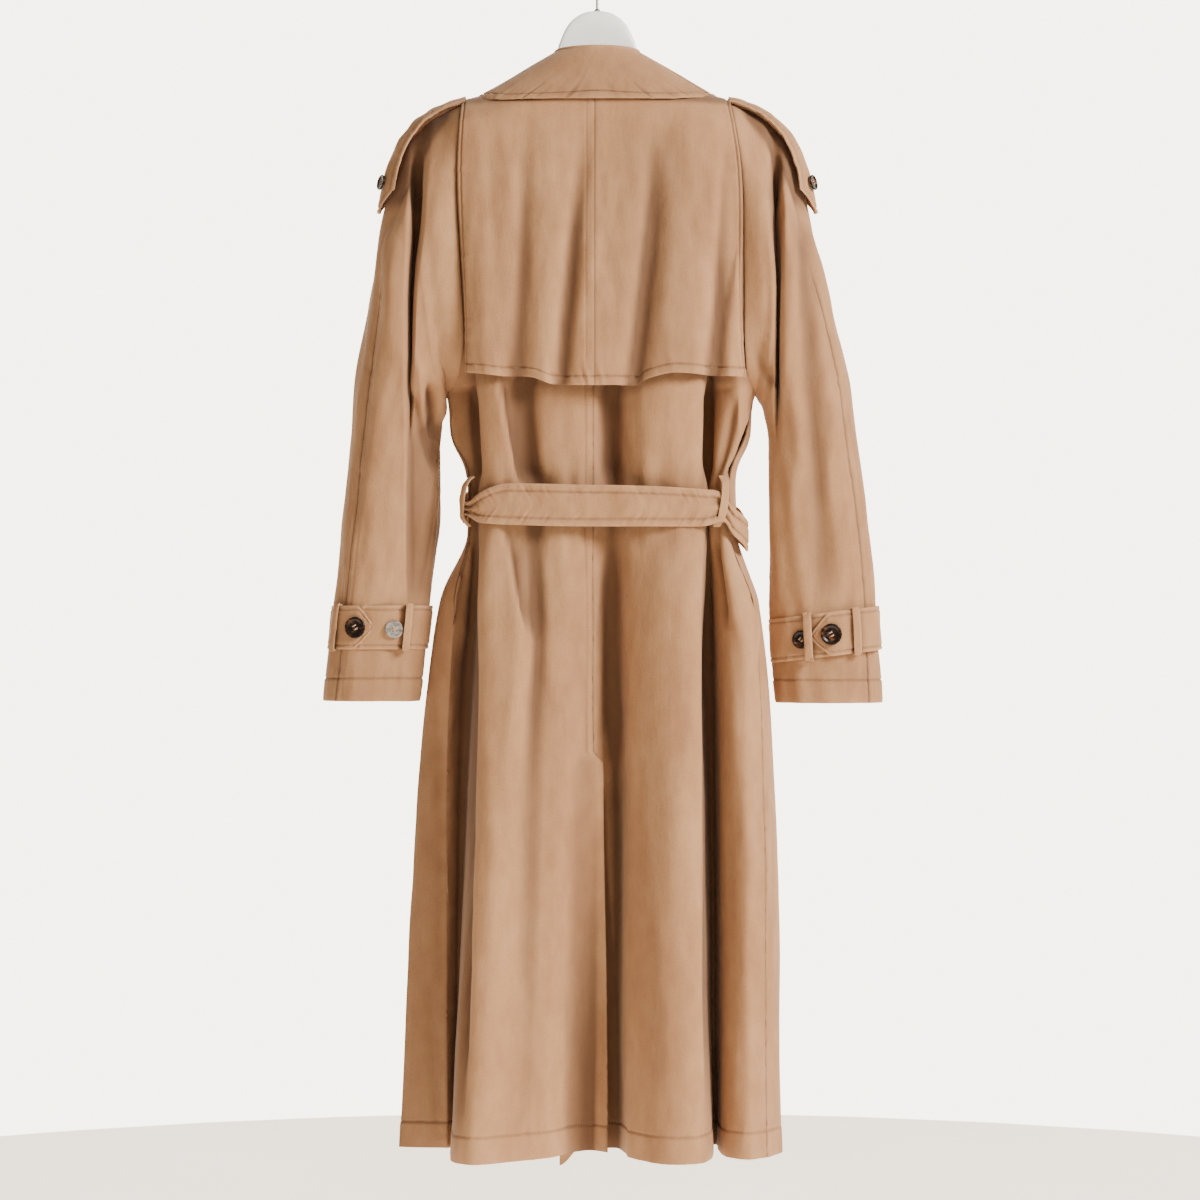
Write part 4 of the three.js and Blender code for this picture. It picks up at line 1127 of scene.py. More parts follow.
@dataclass
class StormFlap:
    """The loose cape over the upper back, in two halves joined on the middle seam."""

    seam_x: float = -3.0
    edge_x: tuple = (-150, -104, -73, -46, 25, 41, 54, 84, 120, 165)
    edge_z: tuple = (-454, -460, -461, -469, -470, -470, -463, -457, -459, -460)
    folds: tuple = (
        FlapFold(-118, -96, 14, 6),
        FlapFold(-72, -82, 13, 10),
        FlapFold(-10, -38, 10, 9),
        FlapFold(76, 40, 15, 13),
        FlapFold(150, 124, 12, 15),
    )
    ripple: Ripple = Ripple(41, 60, 330)
    small: Ripple = Ripple(42, 20, 120)

    def surface(self, s: Array, share: Array) -> Array:
        """The flap's outer face; s runs from the left armhole (0) to the right (1), share down to the edge.

        x blends between the two armhole seams; y is the torso's depth and a lift that flares to the edge,
        less the hollows of the folds.
        """

        def between(left: Array, right: Array) -> Array:
            """Blend from left over the middle seam to right."""
            return np.where(s < 0.5, mix(left, self.seam_x, 2 * s), mix(self.seam_x, right, 2 * s - 1))

        lowest = between(ARMHOLE[Side.LEFT][4], ARMHOLE[Side.RIGHT][4])
        edge = track(self.edge_x, self.edge_z, lowest)
        x = between(
            track(ARMHOLE_SHARES, ARMHOLE[Side.LEFT], 1 - share) + 0.6,
            track(ARMHOLE_SHARES, ARMHOLE[Side.RIGHT], 1 - share) - 0.6,
        )
        in_neck = ease((NECK_X + 4 - np.abs(x)) / 8)
        z = mix(top_z(x) - 3 * in_neck, edge, share)
        edge_near = np.abs(2 * s - 1) ** 9
        flare = 21 * ease(share / 0.9) * (1 - 0.92 * edge_near)
        hollow = np.zeros_like(x)
        for f in self.folds:
            hollow += f.depth * ease(share / 0.7) * bump((x - mix(f.top, f.bottom, share)) / f.width)
        lift = CLOTH + LIFT + mix(3.8, 1.0, ease((share - 0.1) / 0.15)) * (1 - 0.8 * edge_near)
        on_seam = (CLOTH + LIFT + 1) * (1 - ease(share / 0.05)) * (1 - in_neck)
        depth = torso_depth(x, z) + lift + np.maximum(flare - hollow, flare * 0.15)
        return np.stack([x, -depth, z + on_seam], axis=-1)

    def make(self) -> None:
        """Both halves, with puckered edge, seams and rows of stitches."""
        parts = np.linspace(0, 0.15, 24), np.linspace(0.15, 0.94, 84)[1:], np.linspace(0.94, 1, 25)[1:]
        share = np.concatenate(parts)[:, None]
        steps = np.linspace(0, 0.06, 17), np.linspace(0.06, 0.91, 76)[1:], np.linspace(0.91, 1, 17)[1:]
        half = 1 - np.concatenate(steps) / 2
        halves = {Side.RIGHT: half, Side.LEFT: 1 - half[::-1]}
        base = {side: Grid(self.surface(*np.broadcast_arrays(s[None], share))) for side, s in halves.items()}
        right, left = base[Side.RIGHT], base[Side.LEFT]
        normals = {
            Side.RIGHT: right.normals(after=left.points[:, 1:2]),
            Side.LEFT: left.normals(before=right.points[:, -2:-1]),
        }
        for side, grid in base.items():
            p = grid.points
            x, _, z = np.moveaxis(p, -1, 0)
            run = grid.across_mm()
            from_seam = run if side is Side.LEFT else run[:, -1:] - run
            from_arm = run[:, -1:] - run if side is Side.LEFT else run
            up = grid.up_mm()
            soft = ease((-z + RIDGE_Z - 40) / 60)
            height = soft * (0.8 * self.ripple(p) + 0.35 * self.small(p))
            height += pucker(x, up - EDGE_ROW, 11, 11, 1.3, 43, 0.25)
            height += pucker(-z, from_seam - 4, 16, 9, 0.4, 44)
            height += pucker(-z, from_arm - 6, 12, 9, 0.6, 45)
            height -= 0.8 * np.exp(-from_seam / 1.2) + 1.3 * np.exp(-up / 1.6)
            height += stitched(up - EDGE_ROW, 0.9) + 0.6 * ease((EDGE_ROW - up) / 2)
            height -= 1.3 * bump((from_arm - 4) / 1.1) + np.exp(-from_arm)
            if side is Side.LEFT:
                height += stitched(from_seam - SEAM_ROW, 0.4)
            raised = grid.raised(height, normals[side])
            name = f"storm_flap_{side.word}"
            wear = 0.7 * np.exp(-up / 3) + 0.4 * np.exp(-from_seam / 3)
            # Painted shadow under the collar's edge; painted shade in the flap's folds, along its edge's
            # stitches, the armhole and middle seams, and in a broad band over its right half.
            under = 0.8 * ease((z - Collar.edge_z + 6) / 7)
            sewn = 0.4 * bump((up - EDGE_ROW) / 1.2) + 0.5 * bump((from_arm - 4) / 1.2)
            sewn = sewn + 0.7 * np.exp(-from_arm / 1.2)
            sewn = sewn + 0.45 * np.exp(-from_seam) + 0.3 * bump((x - 62) / 40) * soft
            add_sheet(name, raised, CLOTH, wear, grid.hollow(20) * soft + under + sewn)
            out = raised.normals()
            STITCHES.sew_row(raised, -EDGE_ROW, out)
            if side is Side.LEFT:
                STITCHES.sew_column(raised, SEAM_ROW, out, 4)


# ---- collar and lapels
@dataclass
class Collar:
    """The turned-down collar, rolled over at its top, with the stand inside it and the lapels in front."""

    top_z: float = -107.0
    edge_z: float = -165.0
    half_top: float = 47.0
    half_edge: float = 131.0
    roll: float = 3.2
    columns: int = 400
    ripple: Ripple = Ripple(51, 26, 160)

    def leaf(self, angle: Array, down: Array) -> Array:
        """The collar's outer face; angle 0 is the middle of the back, down runs from fold (0) to edge (1).

        An ellipse at the fold, which flares to an edge that lies just outside the back and the shoulders.
        """
        s, c = np.sin(np.radians(angle)), np.cos(np.radians(angle))
        front = ease((np.abs(angle) - 90) / 50)
        reach = self.half_edge - 26 * front
        x = signed(s, mix(1, 0.55, down)) * mix(self.half_top, reach, down**0.96)
        edge_x = signed(s, 0.55) * reach
        side = bump((np.abs(angle) - 90) / 34)
        edge_z = self.edge_z + 8 * side - 22 * front + 3 * bump((edge_x - 112) / 26)
        edge_depth = (torso_depth(edge_x, edge_z) + 11) * np.sqrt(np.minimum(np.abs(c) / 0.25, 1))
        depth = mix(38 * np.abs(c), edge_depth, down**0.8)
        return np.stack([x, -np.sign(c) * depth, mix(self.top_z, edge_z, down)], axis=-1)

    def make_fall(self) -> None:
        """The leaf, its roll over the top and its two rows of puckered stitching."""
        angle = np.linspace(138, -138, self.columns)[None]
        down = np.concatenate([np.linspace(0, 0.7, 40), np.linspace(0.7, 1, 48)[1:]])[:, None]
        leaf = Grid(self.leaf(*np.broadcast_arrays(angle, down)))
        turn = np.linspace(math.pi, 0, 12, endpoint=False)[:, None, None]
        rim = leaf.points[:1]
        inward = -rim * (1, 1, 0)
        inward /= np.linalg.norm(inward, axis=2, keepdims=True)
        lean = (1 - np.cos(turn)) * inward + np.sin(turn) * np.array([0, 0, 1.0])
        grid = Grid(np.concatenate([rim + self.roll * lean, leaf.points]))
        p = grid.points
        z = p[..., 2]
        up = grid.up_mm()
        run = np.broadcast_to(grid.across_mm()[-1:], up.shape)
        end = np.minimum(run, run[:, -1:] - run)
        hang = ease((self.top_z + 2 - z) / 30)
        height = hang * 0.12 * self.ripple(p)
        fine, broad = pucker(run, up - EDGE_ROW, 6, 13, 0.8, 52), pucker(run, up - EDGE_ROW, 17, 18, 0.35, 53)
        height += fine + broad * hang
        height += stitched(up - EDGE_ROW, 0.9) + 0.5 * ease((EDGE_ROW - up) / 2)
        height -= 1.4 * np.exp(-up / 1.8) + np.exp(-end / 1.8)
        raised = grid.raised(height)
        wear = 0.8 * np.exp(-up / 3) + 0.5 * bump((z - self.top_z - 3) / 5)
        # Painted shade in the leaf's folds and along its stitch row, and a little over all of the hanging
        # leaf.
        sewn = 0.45 * bump((up - EDGE_ROW) / 1.2) + 0.1 * hang
        add_sheet("collar_fall", raised, DOUBLE, wear, raised.hollow(6) * hang + sewn)
        out = raised.normals()
        STITCHES.sew_row(raised, -EDGE_ROW, out)
        for inset in (SEAM_ROW, -SEAM_ROW):
            STITCHES.sew_column(raised, inset, out, 14)

    def make_stand(self) -> None:
        """The upright band inside the collar: an ellipse that widens towards the neck seam."""
        angle = np.radians(np.linspace(112, -112, 160))[None]
        down = np.linspace(0, 1, 24)[:, None]
        x = mix(44.0, 66.0, down) * np.sin(angle)
        y = -mix(34.0, 41.0, down) * np.cos(angle)
        z = np.broadcast_to(mix(self.top_z - 1.5, NECK_Z + 1.2, down), x.shape)
        grid = Grid(np.stack([x, y, z], axis=2))
        grid = grid.raised(pucker(grid.across_mm(), grid.down_mm() - 28, 12, 8, 0.4, 54))
        add_sheet("collar_stand", grid)

    def make_lapel(self, side: Side, lowest: float) -> None:
        """The turned-back upper front, widest at the notch and rolled along its fold."""
        lines = FRONT_RIGHT if side is Side.RIGHT else FRONT_LEFT
        edge = next(line for line in lines if line.name.endswith("edge"))
        notch = 0.86
        share = np.linspace(notch, lowest, 70)
        roll_x, roll_y, z = (a[:, None] for a in torso_line(edge, share, Face.FRONT, 6))
        width = 14 + 58 * ((share - lowest) / (notch - lowest))[:, None]
        s = np.linspace(0, 1, 36)[None]
        x = roll_x + side.value * (width * s + 1)
        over = 5 * ease((60 - x) / 40) if side is Side.RIGHT else 0
        y = np.maximum(roll_y, torso_depth(x, z) + over) + LIFT + CLOTH + 1.5 + 5 * (1 - (2 * s - 1) ** 2)
        points = np.stack([x, y, z + 10 * s], axis=2)
        grid = Grid(points if side is Side.RIGHT else points[:, ::-1])
        grid = grid.raised(0.5 * self.ripple(grid.points))
        add_sheet(f"lapel_{side.word}", grid)
        STITCHES.sew_column(grid, -7 if side is Side.RIGHT else 7, grid.normals(), 2)

    def make(self) -> None:
        """The whole collar."""
        self.make_fall()
        self.make_stand()
        self.make_lapel(Side.RIGHT, 0.42)
        self.make_lapel(Side.LEFT, 0.68)


# ---- sleeves
# Rings down each sleeve: outer x and z, inner x and z, middle depth, and reach behind and in front.
SLEEVE_RINGS = {
    Side.LEFT: (
        (168, -174, 167, -475, 0, 51, 48),
        (188, -187, 169, -479, 0, 51, 46),
        (204, -205, 171, -484, 0, 52, 44),
        (217, -236, 172, -490, 1, 52, 42),
        (231, -285, 173, -497, 2, 53, 42),
        (243, -352, 173, -506, 4, 52, 42),
        (256, -435, 171, -521, 6, 48, 42),
        (267, -525, 169, -552, 8, 44, 40),
        (276, -610, 170, -614, 10, 41, 38),
        (284, -700, 181, -700, 13, 38, 36),
        (297, -806, 191, -806, 16, 36, 34),
    ),
    Side.RIGHT: (
        (168, -172, 175, -475, 0, 51, 48),
        (187, -184, 178, -479, 0, 51, 46),
        (204, -201, 180, -484, 0, 52, 44),
        (218, -234, 182, -490, 1, 52, 42),
        (230, -285, 183, -497, 2, 53, 42),
        (247, -352, 184, -506, 4, 52, 42),
        (266, -435, 185, -521, 6, 48, 42),
        (280, -525, 185, -552, 8, 44, 40),
        (293, -610, 185, -614, 10, 41, 38),
        (303, -700, 187, -700, 13, 38, 36),
        (309, -808, 193, -808, 16, 36, 34),
    ),
}


# Soft folds of each sleeve, and the heights of the long crease's tables.
LEFT_FOLDS = [
    Crease(-215, -300, -232, -560, 14, 3),
    Crease(-235, -330, -262, -640, 8, -2.5),
    Crease(-170, -440, -167, -512, 9, 6),
    Crease(-190, -440, -186, -520, 5, 6),
    Crease(-179, -462, -174, -526, 5, -10),
    Crease(-198, -470, -176, -560, 5, -6, 0, 0.3, 14),
]
RIGHT_FOLDS = [
    Crease(219, -270, 243, -707, 11, -7, 0, 0.15),
    Crease(203, -300, 212, -640, 10, 3),
    Crease(262, -400, 290, -640, 9, 2),
    Crease(168, -420, 190, -470, 5, -5, 4),
]
CREASE_Z = (-195, -234, -290, -355, -443, -540)


def around(ring: Array, turn: Array) -> Array:
    """A point of a sleeve ring.

    Args:
        ring: outer x and z, inner x and z, middle depth, and reach behind and in front, in the last axis.
        turn: degrees from the outer arm over the back, which lies at 90.

    Returns:
        x, y and z on the wearer's right: a flattened oval, c = cos and |sin| to the power 0.85.
    """
    c, s = np.cos(np.radians(turn)), np.sin(np.radians(turn))
    out_x, out_z, in_x, in_z, middle, back, front = np.moveaxis(ring, -1, 0)
    x = (out_x + in_x) / 2 + (out_x - in_x) / 2 * c
    z = (out_z + in_z) / 2 + (out_z - in_z) / 2 * c
    y = middle - signed(s, 0.85) * np.where(s > 0, back, front)
    return np.stack([x, y, z], axis=-1)


@dataclass
class Sleeve:
    """One two-piece sleeve, with the deep crease where it hangs over the underarm."""

    side: Side
    crease_x: tuple
    folds: list
    crease_z: tuple = CREASE_Z
    crease_half: tuple = (2.5, 5.6, 5.0, 3.4, 2.8, 2.2)
    crease_depth: float = 34.0
    recess: float = 0.0
    seam_turn: float = 43.95
    seam_row: float = 7.0
    step: float = 3.8
    columns: int = 92

    def back_turns(self) -> Array:
        """The back half's turns at the armhole and each ring, crowded by a sinh towards the long crease."""
        rings = np.array(SLEEVE_RINGS[self.side], float)
        out_x, out_z, in_x, in_z = rings.T[:4]
        centre = track(self.crease_z, self.crease_x, (out_z + in_z) / 2)
        middle = np.degrees(np.arccos(np.clip((2 * centre - out_x - in_x) / (out_x - in_x), -0.9, 0.6)))
        middle[:2] = middle[2]
        crowd = 5.0
        ratio = (180 - middle) / (middle - self.seam_turn)
        at = np.arctanh(np.sinh(crowd) / (ratio + np.cosh(crowd))) / crowd
        scale = (middle - self.seam_turn) / np.sinh(crowd * at)
        u = np.concatenate([np.linspace(0, 0.07, 16), np.linspace(0.07, 1, self.columns)[1:]])
        turns = middle[:, None] + scale[:, None] * np.sinh(crowd * (u[None] - at[:, None]))
        return np.concatenate([turns[:1], turns])

    def keys(self, turn: Array) -> Array:
        """The armhole and the eleven rings at the given turns, on the wearer's right."""
        side = self.side
        seam = SIDE_RIGHT if side is Side.RIGHT else SIDE_LEFT
        turn = np.broadcast_to(turn, (len(SLEEVE_RINGS[side]) + 1, turn.shape[-1]))
        share = (1 + np.cos(np.radians(turn[0]))) / 2
        faces = [torso_line(seam, share, face, 0) for face in (Face.BACK, Face.FRONT)]
        x, y, z = (np.where(np.sin(np.radians(turn[0])) > 0, a, b) for a, b in zip(*faces))
        start = np.stack([side.value * x, y, z], axis=-1)
        rings = around(np.array(SLEEVE_RINGS[side], float)[:, None, :], turn[1:])
        toward = rings[0] - start
        start = start + toward / np.linalg.norm(toward, axis=1, keepdims=True) * 0.5
        return np.concatenate([start[None], rings])

    def base(self, turn: Array) -> Array:
        """Rows from the armhole down to the cuff: curves through the rings, a set step apart."""
        spans = np.linalg.norm(np.diff(self.keys(np.array([1.0, 90, 180, 270])), axis=0), axis=2).max(axis=1)
        counts = np.maximum(3, (spans / self.step).astype(int))
        at = [k + np.linspace(0, 1, n, endpoint=False) for k, n in enumerate(counts[:-1])]
        last = len(spans) - 1
        at += [last + np.linspace(0, 0.66, 18, endpoint=False), last + np.linspace(0.66, 1, 34)]
        return self.rounded(through(self.keys(turn), np.concatenate(at)))

    def rounded(self, p: Array) -> Array:
        """Draws the sleeve's head in under the shoulder strap, at front and back, by depth squared."""
        x, y, z = np.moveaxis(p, -1, 0)
        high = ease((z + 345) / 110)
        outer = ease((x - 168) / 30)
        moved = p.copy()
        round_off = 9 * high * outer * np.square(np.clip(y / 28, -1, 1))
        moved[..., 0] -= round_off
        moved[..., 2] -= round_off
        return moved

    def folded(self, p: Array) -> Array:
        """Presses the long crease into the back half of the sleeve: a bell across its winding line."""
        x, y, z = np.moveaxis(p, -1, 0)
        top, bottom = self.crease_z[0], self.crease_z[-1]
        along = ease((top - z) / 80) * ease((z - bottom) / 100)
        centre = track(self.crease_z, self.crease_x, z)
        half = track(self.crease_z, self.crease_half, z)
        press = self.crease_depth * along * bump((x - centre) / half)
        inner = ease((centre - x) / 9 + 0.5) * ease((bottom + 90 - z) / 70)
        press = press + self.recess * inner * ease((z + 712) / 60)
        moved = p.copy()
        moved[..., 0] -= 7 * bump((z + 488) / 34) * ease((192 - x) / 18)
        moved[..., 1] += np.where(y < 0, press * np.clip(-y / 14, 0, 1), 0)
        return moved

    def shade(self, p: Array) -> Array:
        """Painted shade, 0 to 1, on the back of the sleeve: how deep a point lies in the long crease, and a
        little on the recessed inner band.
        """
        x, y, z = np.moveaxis(p, -1, 0)
        along = ease((self.crease_z[0] - z) / 130) * ease((z - self.crease_z[-1]) / 90)
        centre = track(self.crease_z, self.crease_x, z)
        away = np.abs(x) - centre
        near = bump(away / track(self.crease_z, self.crease_half, z)) * along
        behind = ease((3 - away) / 3) * ease((-470 - z) / 60) * ease((z + 720) / 40)
        return (near + 0.06 * self.recess * behind) * (y < 20)

    def covered(self, p: Array) -> Array:
        """Painted shadow of the shoulder strap: 1 under it, fading out behind its edge."""
        x, y, z = np.moveaxis(p, -1, 0)
        under = ease((np.abs(x) - 150) / 12) * ease((z + 285) / 20)
        return under * ease((33 - np.abs(y)) / 7)

    def make(self) -> None:
        """Both halves, with folds, seam grooves, puckers and stitches."""
        turns = {
            "back": self.back_turns(),
            "front": 360 + self.seam_turn - (180 + self.seam_turn) * np.linspace(1, 0, self.columns) ** 1.35,
        }
        sign = self.side.value
        grids = {k: self.folded(self.base(t)) for k, t in turns.items()}
        for part, grid in grids.items():
            other = grids["front" if part == "back" else "back"]
            points = grid * (sign, 1, 1)
            before, after = other[:, -2:-1] * (sign, 1, 1), other[:, 1:2] * (sign, 1, 1)
            if sign < 0:
                points, before, after = points[:, ::-1], after, before
            sheet = Grid(points)
            normals = sheet.normals(before, after)
            p = sheet.points
            _, y, z = np.moveaxis(p, -1, 0)
            run = sheet.across_mm()
            edge = sheet.from_sides()
            down, up = sheet.down_mm(), sheet.up_mm()
            seed = 60 + 10 * (sign > 0)
            height = Ripple(seed, 46, 300)(p) + 0.45 * Ripple(seed + 1, 22, 90)(p)
            folds = laid(p, self.folds) * ease((8 - y) / 16)
            low = ease((-330 - z) / 50)
            height = (height + folds) * ease(down / 40)
            height += pucker(run, up - CUFF_ROW, 12, 10, 0.7, seed + 2)
            height += pucker(down, edge, 14, 9, 0.6, seed + 3) * low
            height -= 1.2 * np.exp(-edge / 1.6) * low + 0.6 * np.exp(-down / 2.0) + 0.8 * np.exp(-up / 1.6)
            height += stitched(edge - self.seam_row) * low
            height += stitched(up - CUFF_ROW, 0.9) + 0.5 * ease((CUFF_ROW - up) / 3)
            raised = sheet.raised(height, normals)
            name = f"sleeve_{part}_{self.side.word}"
            wear = 0.5 * np.exp(-edge / 3) * low + 0.7 * np.exp(-up / 3)
            # Painted shade in the long crease and the hollows, following the soft folds (less on their
            # ridges), under the shoulder strap, at the cuff's end, along the seams and the cuff's stitch row,
            # and at the armhole.
            painted_shade = self.shade(p) - folds / 10 + 0.8 * sheet.hollow(16) + 0.9 * self.covered(p)
            painted_shade = painted_shade + 0.16 * ease((-735 - z) / 20)
            painted_shade = painted_shade + 0.8 * np.exp(-edge / 1.4) * low + 0.45 * bump((up - CUFF_ROW) / 1.3)
            painted_shade = painted_shade + 0.6 * np.exp(-down / 1.5)
            add_sheet(name, raised, CLOTH, wear, painted_shade)
            out = raised.normals()
            STITCHES.sew_row(raised, -CUFF_ROW, out)
            if part == "back":
                below_head = int(np.argmax(raised.points[:, 0, 2] < -345))
                STITCHES.sew_column(raised, self.seam_row * sign, out, below_head)


# ---- buttons
@dataclass
class Button:
    """A turned four-hole button, sewn on with two bars of thread."""

    name: str
    place: Array
    facing: Array
    finish: object
    slot: str
    radius: float = 11.5
    spin: float = 0.4

    def make(self) -> None:
        """The disc is a height over radius and angle: a raised rim, a dished middle and four dimples."""
        inside = [0.001, 0.08, 0.13, 0.18, 0.23, 0.28, 0.33, 0.4, 0.5, 0.6, 0.67, 0.72, 0.78, 0.83, 0.88]
        r = self.radius * np.array(inside)
        rim_r = self.radius * np.array([0.93, 0.965, 0.99, 1.0, 0.995, 0.97, 0.93, 0.8, 0.4, 0.001])
        rim_h = np.array([2.85, 2.6, 2.25, 1.8, 1.4, 0.95, 0.6, 0.15, 0.0, 0.0])
        turn = np.linspace(0, math.tau, 73)
        part = r / self.radius
        dish = 1.9 + 0.25 * np.cos(part * 5) + 1.05 * ease((part - 0.6) / 0.22)
        dish = dish - 0.1 * ease((part - 0.82) / 0.1)
        radius = np.concatenate([r, rim_r])[:, None]
        height = np.broadcast_to(np.concatenate([dish, rim_h])[:, None], (len(radius), len(turn))).copy()
        x, y = radius * np.cos(turn), radius * np.sin(turn)
        hole = self.radius * 0.17
        upper = np.arange(len(radius))[:, None] < len(r)
        for a in (-1, 1):
            for b in (-1, 1):
                away = np.hypot(x - a * hole, y - b * hole)
                height -= 1.3 * bump(away / (self.radius * 0.085)) * upper
        disc = np.stack([x, y, height], axis=2)
        placed = disc @ self.axes() + self.place
        made = make_object(f"{self.name}_disc", placed, quads(*placed.shape[:2]))
        made.data.materials.append(self.finish.material())
        settle(made, (self.name,))
        self.make_thread(hole)

    def axes(self) -> Array:
        """Rows are the button's own right, up and outward directions."""
        out = self.facing / np.linalg.norm(self.facing)
        side = np.cross((0, 0, 1), out)
        side = side / max(np.linalg.norm(side), 1e-6)
        up = np.cross(out, side)
        c, s = math.cos(self.spin), math.sin(self.spin)
        return np.stack([c * side + s * up, -s * side + c * up, out])

    def make_thread(self, hole: float) -> None:
        """Two bars of thread, each an arch of three strands side by side from hole to hole."""
        t = np.linspace(0, math.pi, 11)[:, None]
        ring = np.linspace(0, math.tau, 9)[None]
        parts = []
        thread = 0.28
        for strand in range(6):
            level = (strand % 3 - 1) * 0.5
            shift = hole if strand < 3 else -hole
            x = -hole * np.cos(t) + thread * np.cos(ring) * np.cos(t)
            z = 1.3 + np.sin(t) ** 0.6 * 1.15 + thread * np.cos(ring) * np.sin(t)
            y = shift + level + thread * np.sin(ring)
            parts.append(np.stack(np.broadcast_arrays(x, y, z), axis=2))
        shape = parts[0].shape[:2]
        points = np.concatenate([p.reshape(-1, 3) for p in parts]) @ self.axes() + self.place
        faces = np.concatenate([quads(*shape) + k * shape[0] * shape[1] for k in range(len(parts))])
        made = make_object(f"{self.name}_thread", points, faces)
        made.data.materials.append(THREAD.material())
        settle(made)


# ---- cuffs
@dataclass
class Cuff:
    """The strap round a sleeve's end, its two carriers and two buttons."""

    side: Side
    under: float
    tip: float
    shoulder: float
    button: float
    spare: float
    carriers: tuple
    tilt: float = 0.0
    top: float = -703.0
    bottom: float = -750.0
    row: float = 4.5

    def point(self, angle: Array, z: Array, away: Array) -> tuple[Array, Array]:
        """A point outside the lower sleeve and the direction that faces away from it there.

        The strap hangs lower on the inner side of the arm by tilt, times half of 1 less the cosine.
        """
        angle, z, away = np.broadcast_arrays(*(np.asarray(a, float) for a in (angle, z, away)))
        z = z - self.tilt * (1 - np.cos(np.radians(angle))) / 2
        a, b = (np.array(SLEEVE_RINGS[self.side][k], float) for k in (-2, -1))
        share = (z - a[1]) / (b[1] - a[1])
        ring = mix(a, b, share[..., None])
        low, high = around(ring, angle - 2), around(ring, angle + 2)
        along = (high - low) * (1, 1, 0)
        along = along / np.linalg.norm(along, axis=-1, keepdims=True)
        normal = np.stack([-along[..., 1], along[..., 0], 0 * z], axis=-1)
        spot = around(ring, angle) + normal * away[..., None]
        spot[..., 2] = z
        flip = np.array([self.side.value, 1, 1])
        return spot * flip, normal * flip

    def oriented(self, points: Array) -> Grid:
        """The grid with its columns turned round on the wearer's left, where it is mirrored."""
        return Grid(points if self.side is Side.RIGHT else points[:, ::-1])

    def make(self) -> None:
        """Strap, carriers and buttons."""
        end = 360 + self.tip
        middle = (self.top + self.bottom) / 2
        start_tip = 360 + self.shoulder
        angle = np.concatenate([np.linspace(self.under, start_tip, 300), np.linspace(start_tip, end, 26)[1:]])
        narrow = 1 - 0.8 * np.clip((angle - 360 - self.shoulder) / (self.tip - self.shoulder), 0, 1) ** 1.1
        share = np.linspace(0, 1, 42)[:, None]
        z = mix(middle, mix(self.top, self.bottom, share), narrow[None])
        away = LIFT + DOUBLE + 4.4 * ease((angle - 372) / 26)
        spots, _ = self.point(angle[None], z, away[None])
        grid = self.oriented(spots)
        run, edge = grid.across_mm(), grid.from_ends()
        seed = 80 + self.side.value
        gather = bump((angle - self.carriers[0] - 360) / 9) + bump((angle - self.carriers[1]) / 9)
        gather = gather[None] if self.side is Side.RIGHT else gather[None, ::-1]
        from_row = edge - self.row
        height = 0.5 * Ripple(seed, 30, 60)(grid.points) + pucker(run, from_row, 9, 7, 0.5, seed + 5, 0.4)
        height += -0.6 * gather - 0.9 * np.exp(-edge / 1.3) + stitched(from_row, 1.0)
        raised = grid.raised(height)
        name = f"cuff_strap_{self.side.word}"
        # Painted shade beside the carriers and along the rows of stitches.
        beside = sum(bump((angle - place - shift) / 6.5) for place in self.carriers for shift in (0, 360))
        beside = beside[None] if self.side is Side.RIGHT else beside[None, ::-1]
        painted_shade = beside + 0.45 * bump(from_row / 1.2)
        add_sheet(name, raised, DOUBLE, np.exp(-edge / 2.5), painted_shade)
        out = raised.normals()
        for inset in (self.row, -self.row):
            STITCHES.sew_row(raised, inset, out)
        for letter, place in zip("ab", self.carriers):
            self.make_carrier(f"strap_loop_{self.side.word}_{letter}", place)
        button = f"cuff_button_{self.side.word}"
        spot, facing = self.point(self.button, middle, LIFT + DOUBLE + 5.2)
        Button(f"{button}_a", spot, facing, HORN, "dark_horn", 11.5, 0.5).make()
        spot, facing = self.point(self.spare, middle - 2, LIFT + DOUBLE + 0.8)
        look = (SHELL, "pale_shell", 9.8, 0.1) if self.side is Side.LEFT else (HORN, "dark_horn", 9.8, 0.9)
        Button(f"{button}_b", spot, facing, *look).make()

    def make_carrier(self, name: str, angle: float) -> None:
        """A narrow loop over the strap: its profile stands off the sleeve between two sewn ends."""
        height = self.top - self.bottom
        key = np.array([[2.0, 1.0], [1.8, 5.0], [0.0, 7.6], [-height / 2, 8.0], [-height, 7.6]])
        key = np.vstack([key, [-height - 1.8, 5.0], [-height - 2, 1.0]])
        profile = through(key, np.linspace(0, len(key) - 1, 60))
        wide = np.linspace(-4.2, 4.2, 12)
        spots, _ = self.point(angle + wide[None], self.top + profile[:, :1], profile[:, 1:] + DOUBLE)
        add_loop(name, self.oriented(spots), 0.25, Ripple(91, 14, 12))


